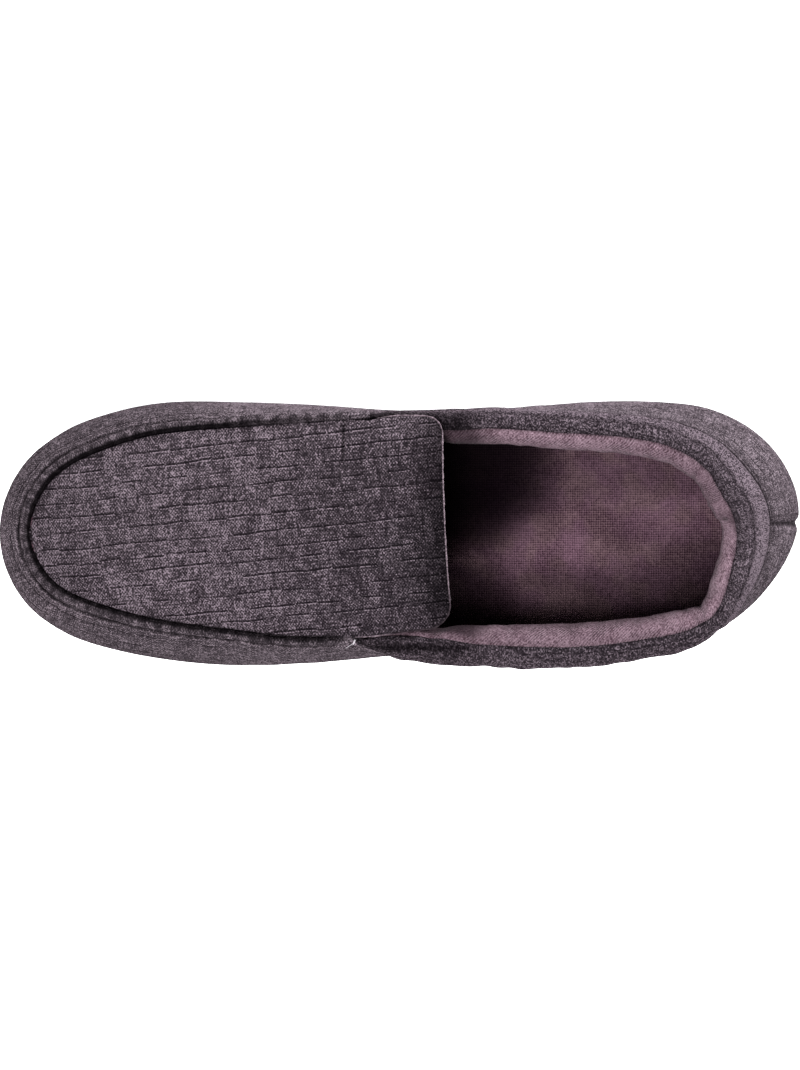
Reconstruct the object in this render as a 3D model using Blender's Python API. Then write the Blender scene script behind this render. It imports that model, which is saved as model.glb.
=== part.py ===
"""Moccasin slipper for the left foot.

Five pieces: outsole, insole, upper (the moccasin wall with its raised seam), plug (apron and tongue flap)
and cuff (padded collar). Sizes are in millimetres and are turned into metres as the meshes are made.
+X points to the toe, +Y to the outer side of the foot, +Z up, and the floor is z = 0.
"""

import math

import bmesh
import bpy
import numpy as np

MM = 0.001
GAP = 0.3  # clearance between pieces that meet
SHARP_ANGLE = 40  # degrees between faces above which an edge is shaded sharp

# Sole
SOLE_THICKNESS = 9.0
SOLE_INSET = 2.6  # sole edge inside the widest line of the wall
SOLE_EDGE_ROUND = 1.6
TOE_SPRING = 7.0
SPRING_START = 52.0  # where the forefoot's flat ends
ARCH_RISE = 1.4
ARCH_REAR, ARCH_FRONT = -48.0, 12.0  # ends of the raised waist under the sole

# Insole
INSOLE_THICKNESS = 5.0
INSOLE_CUP = 2.2  # rise of the insole's edge over its middle
INSOLE_EDGE_ROUND = 1.2

# Wall of the upper
WALL = 3.0
TUCK = 5.0  # how far the wall turns in from its widest line to the sole
WIDEST_ABOVE_SOLE = 12.0
BEAD_WIDTH, BEAD_RISE = 4.6, 1.4  # raised seam round the plug
BEAD_FULLNESS = 0.6  # power of the sine that shapes it: lower is fuller
CREASE_WIDTH, CREASE_DEPTH = 2.4, 0.7  # stitched crease outside the raised seam

# Plug and tongue flap
PLUG_THICKNESS = 2.6
PLUG_RECESS = 1.5  # plug surface below the wall's surface at the seam
CROWN_POWER = 2.3
FLAP_REAR = -19.5
FLAP_CORNER = 8.0
FLAP_SLANT = 1.6  # rear edge further back on the outer side and forward on the inner one

# Cuff
CUFF_PROUD = 0.13  # share of the padding that stands outside the wall
CUFF_BASE_POWER, CUFF_TOP_POWER = 4.0, 2.3  # squareness of the roll below and above its middle

# Number of steps between the named stations, the same on both sides of the shoe
STEPS_HEEL_TO_CUFF_TIP = 20
STEPS_CUFF_TIP_TO_THROAT = 2
STEPS_THROAT_TO_TOE = 18
STEPS_ACROSS = 10

# Stations round the wall, from the heel up the outer (lateral) side to the toe and back on the inner side.
# along, across: the widest line of the wall. inset, height, lean: its top edge, as a distance inside the
# widest line, a height over the floor and an angle inwards in degrees. bead: share of the raised seam.
# cuff, pad: height and thickness of the padded roll on the edge.
COLUMNS = ("along", "across", "inset", "height", "lean", "bead", "cuff", "pad")
STATIONS = {
    "heel back": (-144.5, -8.0, 11.0, 53.0, 23, 0, 16.5, 16.0),
    "heel turn lateral": (-135.0, 16.5, 7.0, 52.5, 15, 0, 16.5, 14.5),
    "heel side lateral": (-117.0, 32.5, 2.0, 50.5, 5, 0, 16.0, 14.0),
    "counter lateral": (-94.0, 38.7, -0.4, 48.0, -3, 0, 15.5, 15.0),
    "quarter lateral": (-62.0, 41.5, -1.4, 46.0, -5, 0, 15.0, 15.5),
    "waist lateral": (-30.0, 42.5, -0.6, 45.5, -3, 0, 14.5, 14.5),
    "cuff front lateral": (-3.0, 43.6, 1.2, 47.5, 4, 0, 11.0, 10.0),
    "cuff tip lateral": (10.0, 44.7, 7.0, 56.0, 22, 0.5, 1.5, 2.0),
    "throat lateral": (15.0, 45.2, 9.0, 58.0, 30, 1, 0, 0),
    "instep lateral": (35.0, 47.0, 10.8, 57.0, 38, 1, 0, 0),
    "ball lateral": (62.0, 48.1, 14.4, 54.0, 42, 1, 0, 0),
    "vamp lateral": (88.7, 45.8, 15.4, 51.0, 44, 1, 0, 0),
    "toe side lateral": (111.0, 41.0, 15.8, 48.0, 46, 1, 0, 0),
    "toe turn lateral": (134.0, 29.0, 14.8, 45.5, 48, 1, 0, 0),
    "toe tip": (146.8, -0.5, 13.0, 44.0, 50, 1, 0, 0),
    "toe turn medial": (134.0, -29.8, 12.0, 45.5, 47, 1, 0, 0),
    "toe side medial": (110.0, -43.0, 11.0, 48.0, 42, 1, 0, 0),
    "vamp medial": (88.4, -47.8, 9.6, 51.0, 36, 1, 0, 0),
    "ball medial": (64.0, -48.3, 7.4, 54.0, 30, 1, 0, 0),
    "instep medial": (35.0, -47.4, 4.4, 57.0, 22, 1, 0, 0),
    "throat medial": (16.5, -46.2, 2.0, 58.0, 14, 1, 0, 0),
    "cuff tip medial": (8.0, -45.6, 1.0, 54.0, 10, 0.4, 1.5, 2.0),
    "cuff front medial": (-4.0, -45.2, 0.0, 48.5, 4, 0, 8.5, 9.0),
    "waist medial": (-30.0, -45.6, 0.0, 45.8, 2, 0, 14.0, 13.0),
    "quarter medial": (-62.0, -48.0, 3.4, 45.8, 6, 0, 15.0, 13.5),
    "counter medial": (-94.0, -48.5, 6.0, 48.0, 10, 0, 15.5, 14.0),
    "heel side medial": (-117.0, -44.2, 9.0, 50.5, 16, 0, 16.0, 15.0),
    "heel turn medial": (-135.5, -31.0, 11.5, 52.5, 22, 0, 16.5, 16.0),
}

# Height of the plug's middle over its edges, at distances along the shoe
CROWN_COLUMNS = ("along", "crown")
CROWN = (
    (-20.5, 14.0),
    (10.0, 13.4),
    (30.0, 11.5),
    (60.0, 9.2),
    (85.0, 7.6),
    (110.0, 5.4),
    (125.0, 3.0),
    (134.0, 0.0),
)

# Edges of the tongue flap behind the raised seam: how far across, and the height of the top surface there
FLAP_COLUMNS = ("along", "lateral", "lateral height", "medial", "medial height")
FLAP = (
    (8.0, 34.2, 57.9, -43.4, 58.4),
    (1.0, 33.2, 57.6, -44.4, 59.0),
    (-6.0, 32.2, 57.4, -45.0, 59.7),
    (-12.5, 31.4, 57.4, -44.8, 60.4),
)

# Colour (linear), roughness and metallic value of each material
FINISHES = {
    "heather_knit": ((0.105, 0.088, 0.104), 0.95, 0.0),
    "mauve_velour": ((0.190, 0.110, 0.140), 0.95, 0.0),
    "sole_rubber": ((0.030, 0.027, 0.031), 0.70, 0.0),
}


# Curves round the shoe


def smooth_tangents(steps, slopes):
    """Tangents of the closed cubic curve with continuous curvature."""
    count = len(steps)
    system = np.zeros((count, count))
    right = np.zeros(count)
    for i in range(count):
        before = i - 1
        after = (i + 1) % count
        system[i, before] += 1 / steps[before]
        system[i, i] += 2 / steps[before] + 2 / steps[i]
        system[i, after] += 1 / steps[i]
        right[i] = 3 * (slopes[before] / steps[before] + slopes[i] / steps[i])
    return np.linalg.solve(system, right)


def level_tangents(slopes_before, slopes_after):
    """Tangents that never overshoot the stations on either side."""
    product = slopes_before * slopes_after
    total = slopes_before + slopes_after
    return np.where(product > 0, 2 * product / np.where(total == 0, 1, total), 0)


def hermite(start, end, start_tangent, end_tangent, step, share):
    """Cubic between two values, share running from 0 to 1."""
    s2, s3 = share**2, share**3
    value = start * (2 * s3 - 3 * s2 + 1) + end * (3 * s2 - 2 * s3)
    return value + step * (start_tangent * (s3 - 2 * s2 + share) + end_tangent * (s3 - s2))


class Round:
    """The station table as smooth closed curves of the distance round the shoe."""

    def __init__(self):
        self.rows = np.array(list(STATIONS.values()), float)
        plan = self.rows[:, :2]
        self.steps = np.linalg.norm(np.roll(plan, -1, axis=0) - plan, axis=1)
        self.knots = np.concatenate([[0], np.cumsum(self.steps)])
        self.curves = {}
        for index, name in enumerate(COLUMNS):
            values = self.rows[:, index]
            slopes = (np.roll(values, -1) - values) / self.steps
            if name in ("along", "across"):
                tangents = smooth_tangents(self.steps, slopes)
            else:
                tangents = level_tangents(np.roll(slopes, 1), slopes)
            self.curves[name] = (values, tangents)

    def at_station(self, name):
        return self.knots[list(STATIONS).index(name)]

    def value(self, name, distance):
        distance = distance % self.knots[-1]
        i = min(int(np.searchsorted(self.knots, distance, side="right")) - 1, len(self.steps) - 1)
        after = (i + 1) % len(self.steps)
        values, tangents = self.curves[name]
        share = (distance - self.knots[i]) / self.steps[i]
        return hermite(values[i], values[after], tangents[i], tangents[after], self.steps[i], share)

    def plan(self, distance):
        return np.array([self.value("along", distance), self.value("across", distance)])

    def outward(self, distance):
        """Unit vector in plan, square to the widest line and away from the foot."""
        reach = 0.5
        x, y = self.plan(distance + reach) - self.plan(distance - reach)
        return np.array([-y, x]) / math.hypot(x, y)


ROUND = Round()


def between(start, end, steps):
    """Distances from one named station up to, and without, the next one."""
    first, last = ROUND.at_station(start), ROUND.at_station(end)
    if last <= first:
        last += ROUND.knots[-1]
    return [first + (last - first) * i / steps for i in range(steps)]


LEGS = (
    ("heel back", "cuff tip lateral", STEPS_HEEL_TO_CUFF_TIP),
    ("cuff tip lateral", "throat lateral", STEPS_CUFF_TIP_TO_THROAT),
    ("throat lateral", "toe tip", STEPS_THROAT_TO_TOE),
    ("toe tip", "throat medial", STEPS_THROAT_TO_TOE),
    ("throat medial", "cuff tip medial", STEPS_CUFF_TIP_TO_THROAT),
    ("cuff tip medial", "heel back", STEPS_HEEL_TO_CUFF_TIP),
)
SECTIONS = [distance for leg in LEGS for distance in between(*leg)]
TOE = len(SECTIONS) // 2
CUFF_TIP = STEPS_HEEL_TO_CUFF_TIP
THROAT = CUFF_TIP + STEPS_CUFF_TIP_TO_THROAT


def opposite(section):
    """The section at the same place on the other side of the shoe."""
    return (len(SECTIONS) - section) % len(SECTIONS)


def through(rows, columns, name, along):
    """One column of a short table, read at a distance along the shoe."""
    table = np.array(sorted(rows), float)
    return float(np.interp(along, table[:, 0], table[:, columns.index(name)]))


# Heights that depend on the distance along the shoe alone


def spring(along):
    """Rise of the sole towards the toe."""
    toe = STATIONS["toe tip"][0]
    share = max(0.0, (along - SPRING_START) / (toe - SPRING_START))
    return TOE_SPRING * share**2


def arch(along):
    """Rise of the sole's underside at the waist."""
    share = (along - ARCH_REAR) / (ARCH_FRONT - ARCH_REAR)
    return ARCH_RISE * math.sin(math.pi * share) ** 2 if 0 < share < 1 else 0.0


def sole_top(along):
    return SOLE_THICKNESS + spring(along)


def sole_bottom(along):
    return spring(along) + arch(along)


# Meshes


def placed(distance, offset, height):
    """Point at an offset outside the widest line."""
    x, y = ROUND.plan(distance) + offset * ROUND.outward(distance)
    return np.array([x, y, height])


def make_object(name, bm, finish):
    bmesh.ops.recalc_face_normals(bm, faces=bm.faces)
    if bm.calc_volume(signed=True) < 0:
        bmesh.ops.reverse_faces(bm, faces=bm.faces)
    mesh = bpy.data.meshes.new(name)
    bm.to_mesh(mesh)
    bm.free()
    mesh.shade_smooth()
    mesh.set_sharp_from_angle(angle=math.radians(SHARP_ANGLE))
    mesh.materials.append(material(finish))
    obj = bpy.data.objects.new(name, mesh)
    bpy.context.collection.objects.link(obj)
    return obj


def material(name):
    found = bpy.data.materials.get(name)
    if found:
        return found
    colour, roughness, metallic = FINISHES[name]
    made = bpy.data.materials.new(name)
    made.use_nodes = True
    shader = made.node_tree.nodes["Principled BSDF"]
    shader.inputs["Base Color"].default_value = (*colour, 1)
    shader.inputs["Roughness"].default_value = roughness
    shader.inputs["Metallic"].default_value = metallic
    return made


def add_points(bm, points):
    return [bm.verts.new(np.array(point) * MM) for point in points]


def add_strip(bm, first, second):
    """Quads between two rows of vertices of equal length."""
    for i in range(len(first) - 1):
        bm.faces.new((first[i], first[i + 1], second[i + 1], second[i]))


def add_ladder(bm, lateral, medial, heel_end, toe_end, surface):
    """A cap of rows across the shoe, from a heel vertex to a toe vertex.

    lateral and medial hold the edge vertices of each row, and surface gives the height of a point in plan."""
    rows = []
    for left, right in zip(lateral, medial):
        inner = []
        for i in range(1, STEPS_ACROSS):
            share = i / STEPS_ACROSS
            point = left.co.lerp(right.co, share)
            point.z = surface(left, right, share) * MM
            inner.append(bm.verts.new(point))
        rows.append([left, *inner, right])
    for first, second in zip(rows, rows[1:]):
        add_strip(bm, first, second)
    for end, row in ((heel_end, rows[0]), (toe_end, rows[-1])):
        for a, b in zip(row, row[1:]):
            bm.faces.new((end, a, b))


def add_ring(bm, profiles, closed):
    """Vertices of one profile for each section round the shoe, joined into a band."""
    rings = [add_points(bm, profile) for profile in profiles]
    for first, second in zip(rings, rings[1:] + rings[:1]):
        add_strip(bm, first, second)
        if closed:
            bm.faces.new((first[-1], first[0], second[0], second[-1]))
    return rings


def add_caps(bm, rings, index, surface):
    """Fills the inside of a band at one point of its profile."""
    lateral = [rings[i][index] for i in range(1, TOE)]
    medial = [rings[opposite(i)][index] for i in range(1, TOE)]
    add_ladder(bm, lateral, medial, rings[0][index], rings[TOE][index], surface)


def outsole():
    """Unit sole: top follows the toe spring, underside is flat at heel and forefoot and raised at the waist."""

    def profile(distance):
        x = placed(distance, -SOLE_INSET, 0)[0]
        top, bottom = sole_top(x), sole_bottom(x)
        edge = SOLE_EDGE_ROUND
        half = edge * math.sqrt(0.5)
        steps = (
            (-edge, top),
            (0.0, top - edge / 2),
            (0.0, bottom + edge),
            (half - edge, bottom + edge - half),
            (-edge, bottom),
        )
        return [placed(distance, offset - SOLE_INSET, height) for offset, height in steps]

    bm = bmesh.new()
    rings = add_ring(bm, [profile(d) for d in SECTIONS], closed=False)

    def along(left, right, share):
        return left.co.lerp(right.co, share).x / MM

    add_caps(bm, rings, 0, lambda *place: sole_top(along(*place)))
    add_caps(bm, rings, -1, lambda *place: sole_bottom(along(*place)))
    return make_object("outsole", bm, "sole_rubber")


def insole():
    """Padded sock inside the wall's tucked edge, a little cupped."""
    outer = -TUCK - GAP
    cup_power = 4

    def profile(distance):
        x = placed(distance, outer, 0)[0]
        base = sole_top(x) + GAP
        top = base + INSOLE_THICKNESS
        edge = INSOLE_EDGE_ROUND
        steps = ((outer - edge, top), (outer, top - edge), (outer, base + edge), (outer - edge, base))
        return [placed(distance, offset, height) for offset, height in steps]

    bm = bmesh.new()
    rings = add_ring(bm, [profile(d) for d in SECTIONS], closed=False)

    def top(left, right, share):
        x = left.co.lerp(right.co, share).x / MM
        dip = INSOLE_CUP * (1 - abs(2 * share - 1) ** cup_power)
        return sole_top(x) + GAP + INSOLE_THICKNESS - dip

    def base(left, right, share):
        return sole_top(left.co.lerp(right.co, share).x / MM) + GAP

    add_caps(bm, rings, 0, top)
    add_caps(bm, rings, -1, base)
    return make_object("insole", bm, "mauve_velour")


# The wall's section, as offsets from the widest line and heights


def top_edge(distance):
    """Top outer edge of the wall with the directions along and out of its surface, in offset and height."""
    lean = math.radians(ROUND.value("lean", distance))
    point = np.array([-ROUND.value("inset", distance), ROUND.value("height", distance)])
    rising = np.array([-math.sin(lean), math.cos(lean)])
    facing = np.array([math.cos(lean), math.sin(lean)])
    return point, rising, facing


def upper_curve(distance, share):
    """Outer surface from the widest line (share 0) to the top edge (share 1), with the way it faces."""
    rise_handle, lean_handle = 0.45, 0.40
    top, rising, _ = top_edge(distance)
    start = np.array([0.0, sole_top(ROUND.plan(distance)[0]) + WIDEST_ABOVE_SOLE])
    first = start + np.array([0.0, rise_handle * (top[1] - start[1])])
    second = top - lean_handle * np.linalg.norm(top - start) * rising
    a, b = 1 - share, share
    point = a**3 * start + 3 * a * a * b * first + 3 * a * b * b * second + b**3 * top
    slope = a * a * (first - start) + 2 * a * b * (second - first) + b * b * (top - second)
    slope /= np.linalg.norm(slope)
    return point, np.array([slope[1], -slope[0]])


def tuck_curve(distance, turn, wall):
    """Lower part of the wall at a depth below its outer surface, from the sole (turn 0) to the widest line."""
    angle = turn * math.pi / 2
    offset = -TUCK + (TUCK - wall) * math.sin(angle)
    foot = sole_top(placed(distance, offset, 0)[0]) + GAP + wall
    widest = sole_top(ROUND.plan(distance)[0]) + WIDEST_ABOVE_SOLE
    return np.array([offset, foot + (widest - foot) * (1 - math.cos(angle))])


def seam_relief(from_edge):
    """Rise of the raised seam over the wall, and the stitched crease beside it, at a distance from the edge."""
    if from_edge < BEAD_WIDTH:
        return BEAD_RISE * math.sin(math.pi * from_edge / BEAD_WIDTH) ** BEAD_FULLNESS
    if from_edge < BEAD_WIDTH + CREASE_WIDTH:
        return -CREASE_DEPTH * math.sin(math.pi * (from_edge - BEAD_WIDTH) / CREASE_WIDTH)
    return 0.0


def wall_profile(distance):
    """Closed section of the wall: up the outside, over the edge, and down the inside."""
    tuck_turns = (0.0, 0.35, 0.7)
    lower_shares = (0.0, 0.25, 0.5, 0.7)
    relief_steps = (
        BEAD_WIDTH + CREASE_WIDTH,
        BEAD_WIDTH + CREASE_WIDTH / 2,
        BEAD_WIDTH,
        BEAD_WIDTH * 0.8,
        BEAD_WIDTH * 0.5,
        BEAD_WIDTH * 0.2,
        0.0,
    )
    inner_shares = (1.0, 0.75, 0.5, 0.25, 0.0)
    bead = ROUND.value("bead", distance)
    top, _, _ = top_edge(distance)
    length = np.linalg.norm(top - upper_curve(distance, 0)[0])
    outer = [tuck_curve(distance, turn, 0.0) for turn in tuck_turns]
    outer += [upper_curve(distance, share)[0] for share in lower_shares]
    for from_edge in relief_steps:
        point, facing = upper_curve(distance, 1 - from_edge / length)
        outer.append(point + bead * seam_relief(from_edge) * facing)
    inner = []
    for share in inner_shares:
        point, facing = upper_curve(distance, share)
        inner.append(point - WALL * facing)
    inner += [tuck_curve(distance, turn, WALL) for turn in reversed(tuck_turns)]
    return [placed(distance, offset, height) for offset, height in outer + inner]


def upper():
    """The moccasin wall: one hollow band, open at the top and underneath."""
    bm = bmesh.new()
    add_ring(bm, [wall_profile(d) for d in SECTIONS], closed=True)
    return make_object("upper", bm, "heather_knit")


# Plug and tongue flap


def seam_point(section, depth):
    """Edge of the plug at the raised seam, at a depth below its top surface."""
    distance = SECTIONS[section]
    top, rising, facing = top_edge(distance)
    offset, height = top + GAP * rising - (PLUG_RECESS + depth) * facing
    return placed(distance, offset, height)


def flap_ends(along):
    """Outer and inner edge of the flap's full width."""
    ends = []
    for side, slant in (("lateral", -FLAP_SLANT), ("medial", FLAP_SLANT)):
        across = through(FLAP, FLAP_COLUMNS, side, along)
        height = through(FLAP, FLAP_COLUMNS, side + " height", along)
        ends.append(np.array([along + slant, across, height]))
    return ends


def crowned(left, right, share):
    """Point on the plug's top surface between the two ends of a row."""
    point = left + (right - left) * share
    rise = through(CROWN, CROWN_COLUMNS, "crown", point[0])
    point[2] += rise * (1 - abs(2 * share - 1) ** CROWN_POWER)
    return point


def plug_rows():
    """Rows across the plug from toe to rear edge, each with the shares of its width where it starts and ends."""
    rows = []
    for section in range(TOE - 1, THROAT - 1, -1):
        rows.append((seam_point(section, 0), seam_point(opposite(section), 0), 0.0))
    for along, *_ in FLAP:
        rows.append((*flap_ends(along), 0.0))
    corner_steps = 4
    for i in range(1, corner_steps + 1):
        turn = math.pi / 2 * i / corner_steps
        left, right = flap_ends(FLAP_REAR + FLAP_CORNER * (1 - math.sin(turn)))
        cut = FLAP_CORNER * (1 - math.cos(turn)) / np.linalg.norm(left - right)
        rows.append((left, right, cut))
    return rows


def plug():
    """Apron and tongue flap in one padded sheet, its seam edge square to the wall's edge."""
    tops = []
    for left, right, cut in plug_rows():
        shares = np.linspace(cut, 1 - cut, STEPS_ACROSS + 1)
        tops.append([crowned(left, right, share) for share in shares])
    grid = np.array(tops)
    along_rows = np.gradient(grid, axis=0)
    across_rows = np.gradient(grid, axis=1)
    facing = np.cross(across_rows, along_rows)
    facing /= np.linalg.norm(facing, axis=2, keepdims=True)
    facing *= np.sign(facing[..., 2:])
    under = grid - PLUG_THICKNESS * facing
    for row, section in enumerate(range(TOE - 1, THROAT - 1, -1)):
        under[row, 0] = seam_point(section, PLUG_THICKNESS)
        under[row, -1] = seam_point(opposite(section), PLUG_THICKNESS)
    bm = bmesh.new()
    sheets = []
    for points, depth in ((grid, 0), (under, PLUG_THICKNESS)):
        rows = [add_points(bm, row) for row in points]
        (tip,) = add_points(bm, [seam_point(TOE, depth)])
        for first, second in zip(rows, rows[1:]):
            add_strip(bm, first, second)
        for a, b in zip(rows[0], rows[0][1:]):
            bm.faces.new((tip, a, b))
        lateral = [row[0] for row in rows]
        medial = [row[-1] for row in rows]
        sheets.append([tip, *lateral, *rows[-1][1:-1], *reversed(medial), tip])
    add_strip(bm, *sheets)
    return make_object("plug", bm, "heather_knit")


# Cuff


def roll(distance, angle):
    """Point on the padded roll, round its own section, standing on the wall's top edge."""
    height, pad = ROUND.value("cuff", distance), ROUND.value("pad", distance)
    top, rising, facing = top_edge(distance)
    across, up = math.cos(angle), math.sin(angle)
    power = 2 / (CUFF_TOP_POWER if up > 0 else CUFF_BASE_POWER)
    across = math.copysign(abs(across) ** power, across)
    up = math.copysign(abs(up) ** power, up)
    out = CUFF_PROUD * pad - pad / 2 * (1 - across)
    offset, level = top + out * facing + (GAP + height / 2 * (1 + up)) * rising
    return placed(distance, offset, level)


def cuff():
    """Padded collar, from one end of the raised seam round the heel to the other."""
    points_round = 14
    angles = [2 * math.pi * i / points_round for i in range(points_round)]
    sections = [*range(opposite(CUFF_TIP), len(SECTIONS)), *range(0, CUFF_TIP + 1)]
    bm = bmesh.new()
    rings = [add_points(bm, [roll(SECTIONS[i], angle) for angle in angles]) for i in sections]
    for first, second in zip(rings, rings[1:]):
        add_strip(bm, first, second)
        bm.faces.new((first[-1], first[0], second[0], second[-1]))
    bm.faces.new(rings[0])
    bm.faces.new(rings[-1])
    return make_object("cuff", bm, "heather_knit")


def centre_on_floor(pieces):
    """Moves the shoe so that its box stands centred over the origin."""
    corners = np.array([v.co for piece in pieces for v in piece.data.vertices])
    centre = (corners.min(axis=0) + corners.max(axis=0)) / 2
    slipper = bpy.data.objects.new("slipper", None)
    bpy.context.collection.objects.link(slipper)
    slipper.location = (-centre[0], -centre[1], -corners[:, 2].min())
    for piece in pieces:
        piece.parent = slipper


def build():
    for obj in list(bpy.data.objects):
        bpy.data.objects.remove(obj)
    centre_on_floor([outsole(), insole(), upper(), plug(), cuff()])


build()
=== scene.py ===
"""Moccasin slipper for the left foot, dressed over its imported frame.

Sizes are millimetres in the shoe's own drawing: along is +X to the toe, across is +Y to the outer (lateral)
side of the foot, and heights are over the floor. Meshes are turned into the frame's metres as they are made.
"""

import math

import bpy
import numpy as np
from mathutils import Matrix, Vector, kdtree


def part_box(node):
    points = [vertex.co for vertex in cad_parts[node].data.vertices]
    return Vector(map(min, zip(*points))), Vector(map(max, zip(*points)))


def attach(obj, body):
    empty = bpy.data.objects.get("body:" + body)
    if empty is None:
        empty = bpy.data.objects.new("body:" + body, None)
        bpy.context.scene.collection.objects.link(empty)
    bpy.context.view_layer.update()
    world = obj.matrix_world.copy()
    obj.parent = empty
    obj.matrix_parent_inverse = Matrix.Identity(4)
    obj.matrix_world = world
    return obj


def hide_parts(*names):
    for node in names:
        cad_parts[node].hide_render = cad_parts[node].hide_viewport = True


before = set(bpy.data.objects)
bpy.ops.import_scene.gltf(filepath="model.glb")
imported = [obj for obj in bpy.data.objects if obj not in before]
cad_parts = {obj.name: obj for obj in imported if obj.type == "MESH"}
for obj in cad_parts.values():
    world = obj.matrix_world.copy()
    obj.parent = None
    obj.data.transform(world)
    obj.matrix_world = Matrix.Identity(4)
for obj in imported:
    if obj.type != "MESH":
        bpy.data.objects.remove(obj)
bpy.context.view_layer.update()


# Outsole
# A moulded rubber unit sole, cemented under the turned-in foot of the wall. Nothing of it shows from above,
# so its side is plain with one fine line round it, and its underside has shallow bars across for grip.

# Stations round the wall, from the heel up the outer side to the toe and back on the inner side.
# along, across: the widest line of the wall. inset, height, lean: its top edge, as a distance inside the
# widest line, a height over the floor and an angle inwards in degrees. bead: share of the raised seam.
# cuff, pad: height and thickness of the padded roll on the edge.
COLUMNS = ("along", "across", "inset", "height", "lean", "bead", "cuff", "pad")
STATIONS = {
    "heel back": (-144.5, -8.0, 11.0, 53.0, 23, 0, 16.5, 16.0),
    "heel turn lateral": (-135.0, 16.5, 7.0, 52.5, 15, 0, 16.5, 14.5),
    "heel side lateral": (-117.0, 32.5, 2.0, 50.5, 5, 0, 16.0, 14.0),
    "counter lateral": (-94.0, 38.7, -0.4, 48.0, -3, 0, 15.5, 15.0),
    "quarter lateral": (-62.0, 41.5, -1.4, 46.0, -5, 0, 15.0, 15.5),
    "waist lateral": (-30.0, 42.5, -0.6, 45.5, -3, 0, 14.5, 14.5),
    "cuff front lateral": (-3.0, 43.6, 1.2, 47.5, 4, 0, 11.0, 10.0),
    "cuff tip lateral": (10.0, 44.7, 7.0, 56.0, 22, 0.5, 1.5, 2.0),
    "throat lateral": (15.0, 45.2, 9.0, 58.0, 30, 1, 0, 0),
    "instep lateral": (35.0, 47.0, 10.8, 57.0, 38, 1, 0, 0),
    "ball lateral": (62.0, 48.1, 14.4, 54.0, 42, 1, 0, 0),
    "vamp lateral": (88.7, 45.8, 15.4, 51.0, 44, 1, 0, 0),
    "toe side lateral": (111.0, 41.0, 15.8, 48.0, 46, 1, 0, 0),
    "toe turn lateral": (134.0, 29.0, 14.8, 45.5, 48, 1, 0, 0),
    "toe tip": (146.8, -0.5, 13.0, 44.0, 50, 1, 0, 0),
    "toe turn medial": (134.0, -29.8, 12.0, 45.5, 47, 1, 0, 0),
    "toe side medial": (110.0, -43.0, 11.0, 48.0, 42, 1, 0, 0),
    "vamp medial": (88.4, -47.8, 9.6, 51.0, 36, 1, 0, 0),
    "ball medial": (64.0, -48.3, 7.4, 54.0, 30, 1, 0, 0),
    "instep medial": (35.0, -47.4, 4.4, 57.0, 22, 1, 0, 0),
    "throat medial": (16.5, -46.2, 2.0, 58.0, 14, 1, 0, 0),
    "cuff tip medial": (8.0, -45.6, 1.0, 54.0, 10, 0.4, 1.5, 2.0),
    "cuff front medial": (-4.0, -45.2, 0.0, 48.5, 4, 0, 8.5, 9.0),
    "waist medial": (-30.0, -45.6, 0.0, 45.8, 2, 0, 14.0, 13.0),
    "quarter medial": (-62.0, -48.0, 3.4, 45.8, 6, 0, 15.0, 13.5),
    "counter medial": (-94.0, -48.5, 6.0, 48.0, 10, 0, 15.5, 14.0),
    "heel side medial": (-117.0, -44.2, 9.0, 50.5, 16, 0, 16.0, 15.0),
    "heel turn medial": (-135.5, -31.0, 11.5, 52.5, 22, 0, 16.5, 16.0),
}


def smooth_tangents(steps, slopes):
    """Tangents of the closed cubic curve with continuous curvature."""
    count = len(steps)
    system = np.zeros((count, count))
    right = np.zeros(count)
    for i in range(count):
        before, after = i - 1, (i + 1) % count
        system[i, before] += 1 / steps[before]
        system[i, i] += 2 / steps[before] + 2 / steps[i]
        system[i, after] += 1 / steps[i]
        right[i] = 3 * (slopes[before] / steps[before] + slopes[i] / steps[i])
    return np.linalg.solve(system, right)


def level_tangents(slopes_before, slopes_after):
    """Tangents that never overshoot the values on either side."""
    product = slopes_before * slopes_after
    total = slopes_before + slopes_after
    return np.where(product > 0, 2 * product / np.where(total == 0, 1, total), 0)


def on_curve(knots, values, tangents, at):
    """Value of the cubic curve with these values and tangents at its knots, held beyond its ends."""
    i = np.clip(np.searchsorted(knots, at, side="right") - 1, 0, len(knots) - 2)
    step = knots[i + 1] - knots[i]
    share = np.clip((at - knots[i]) / step, 0, 1)
    s2, s3 = share**2, share**3
    value = values[i] * (2 * s3 - 3 * s2 + 1) + values[i + 1] * (3 * s2 - 2 * s3)
    return value + step * (tangents[i] * (s3 - 2 * s2 + share) + tangents[i + 1] * (s3 - s2))


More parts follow.
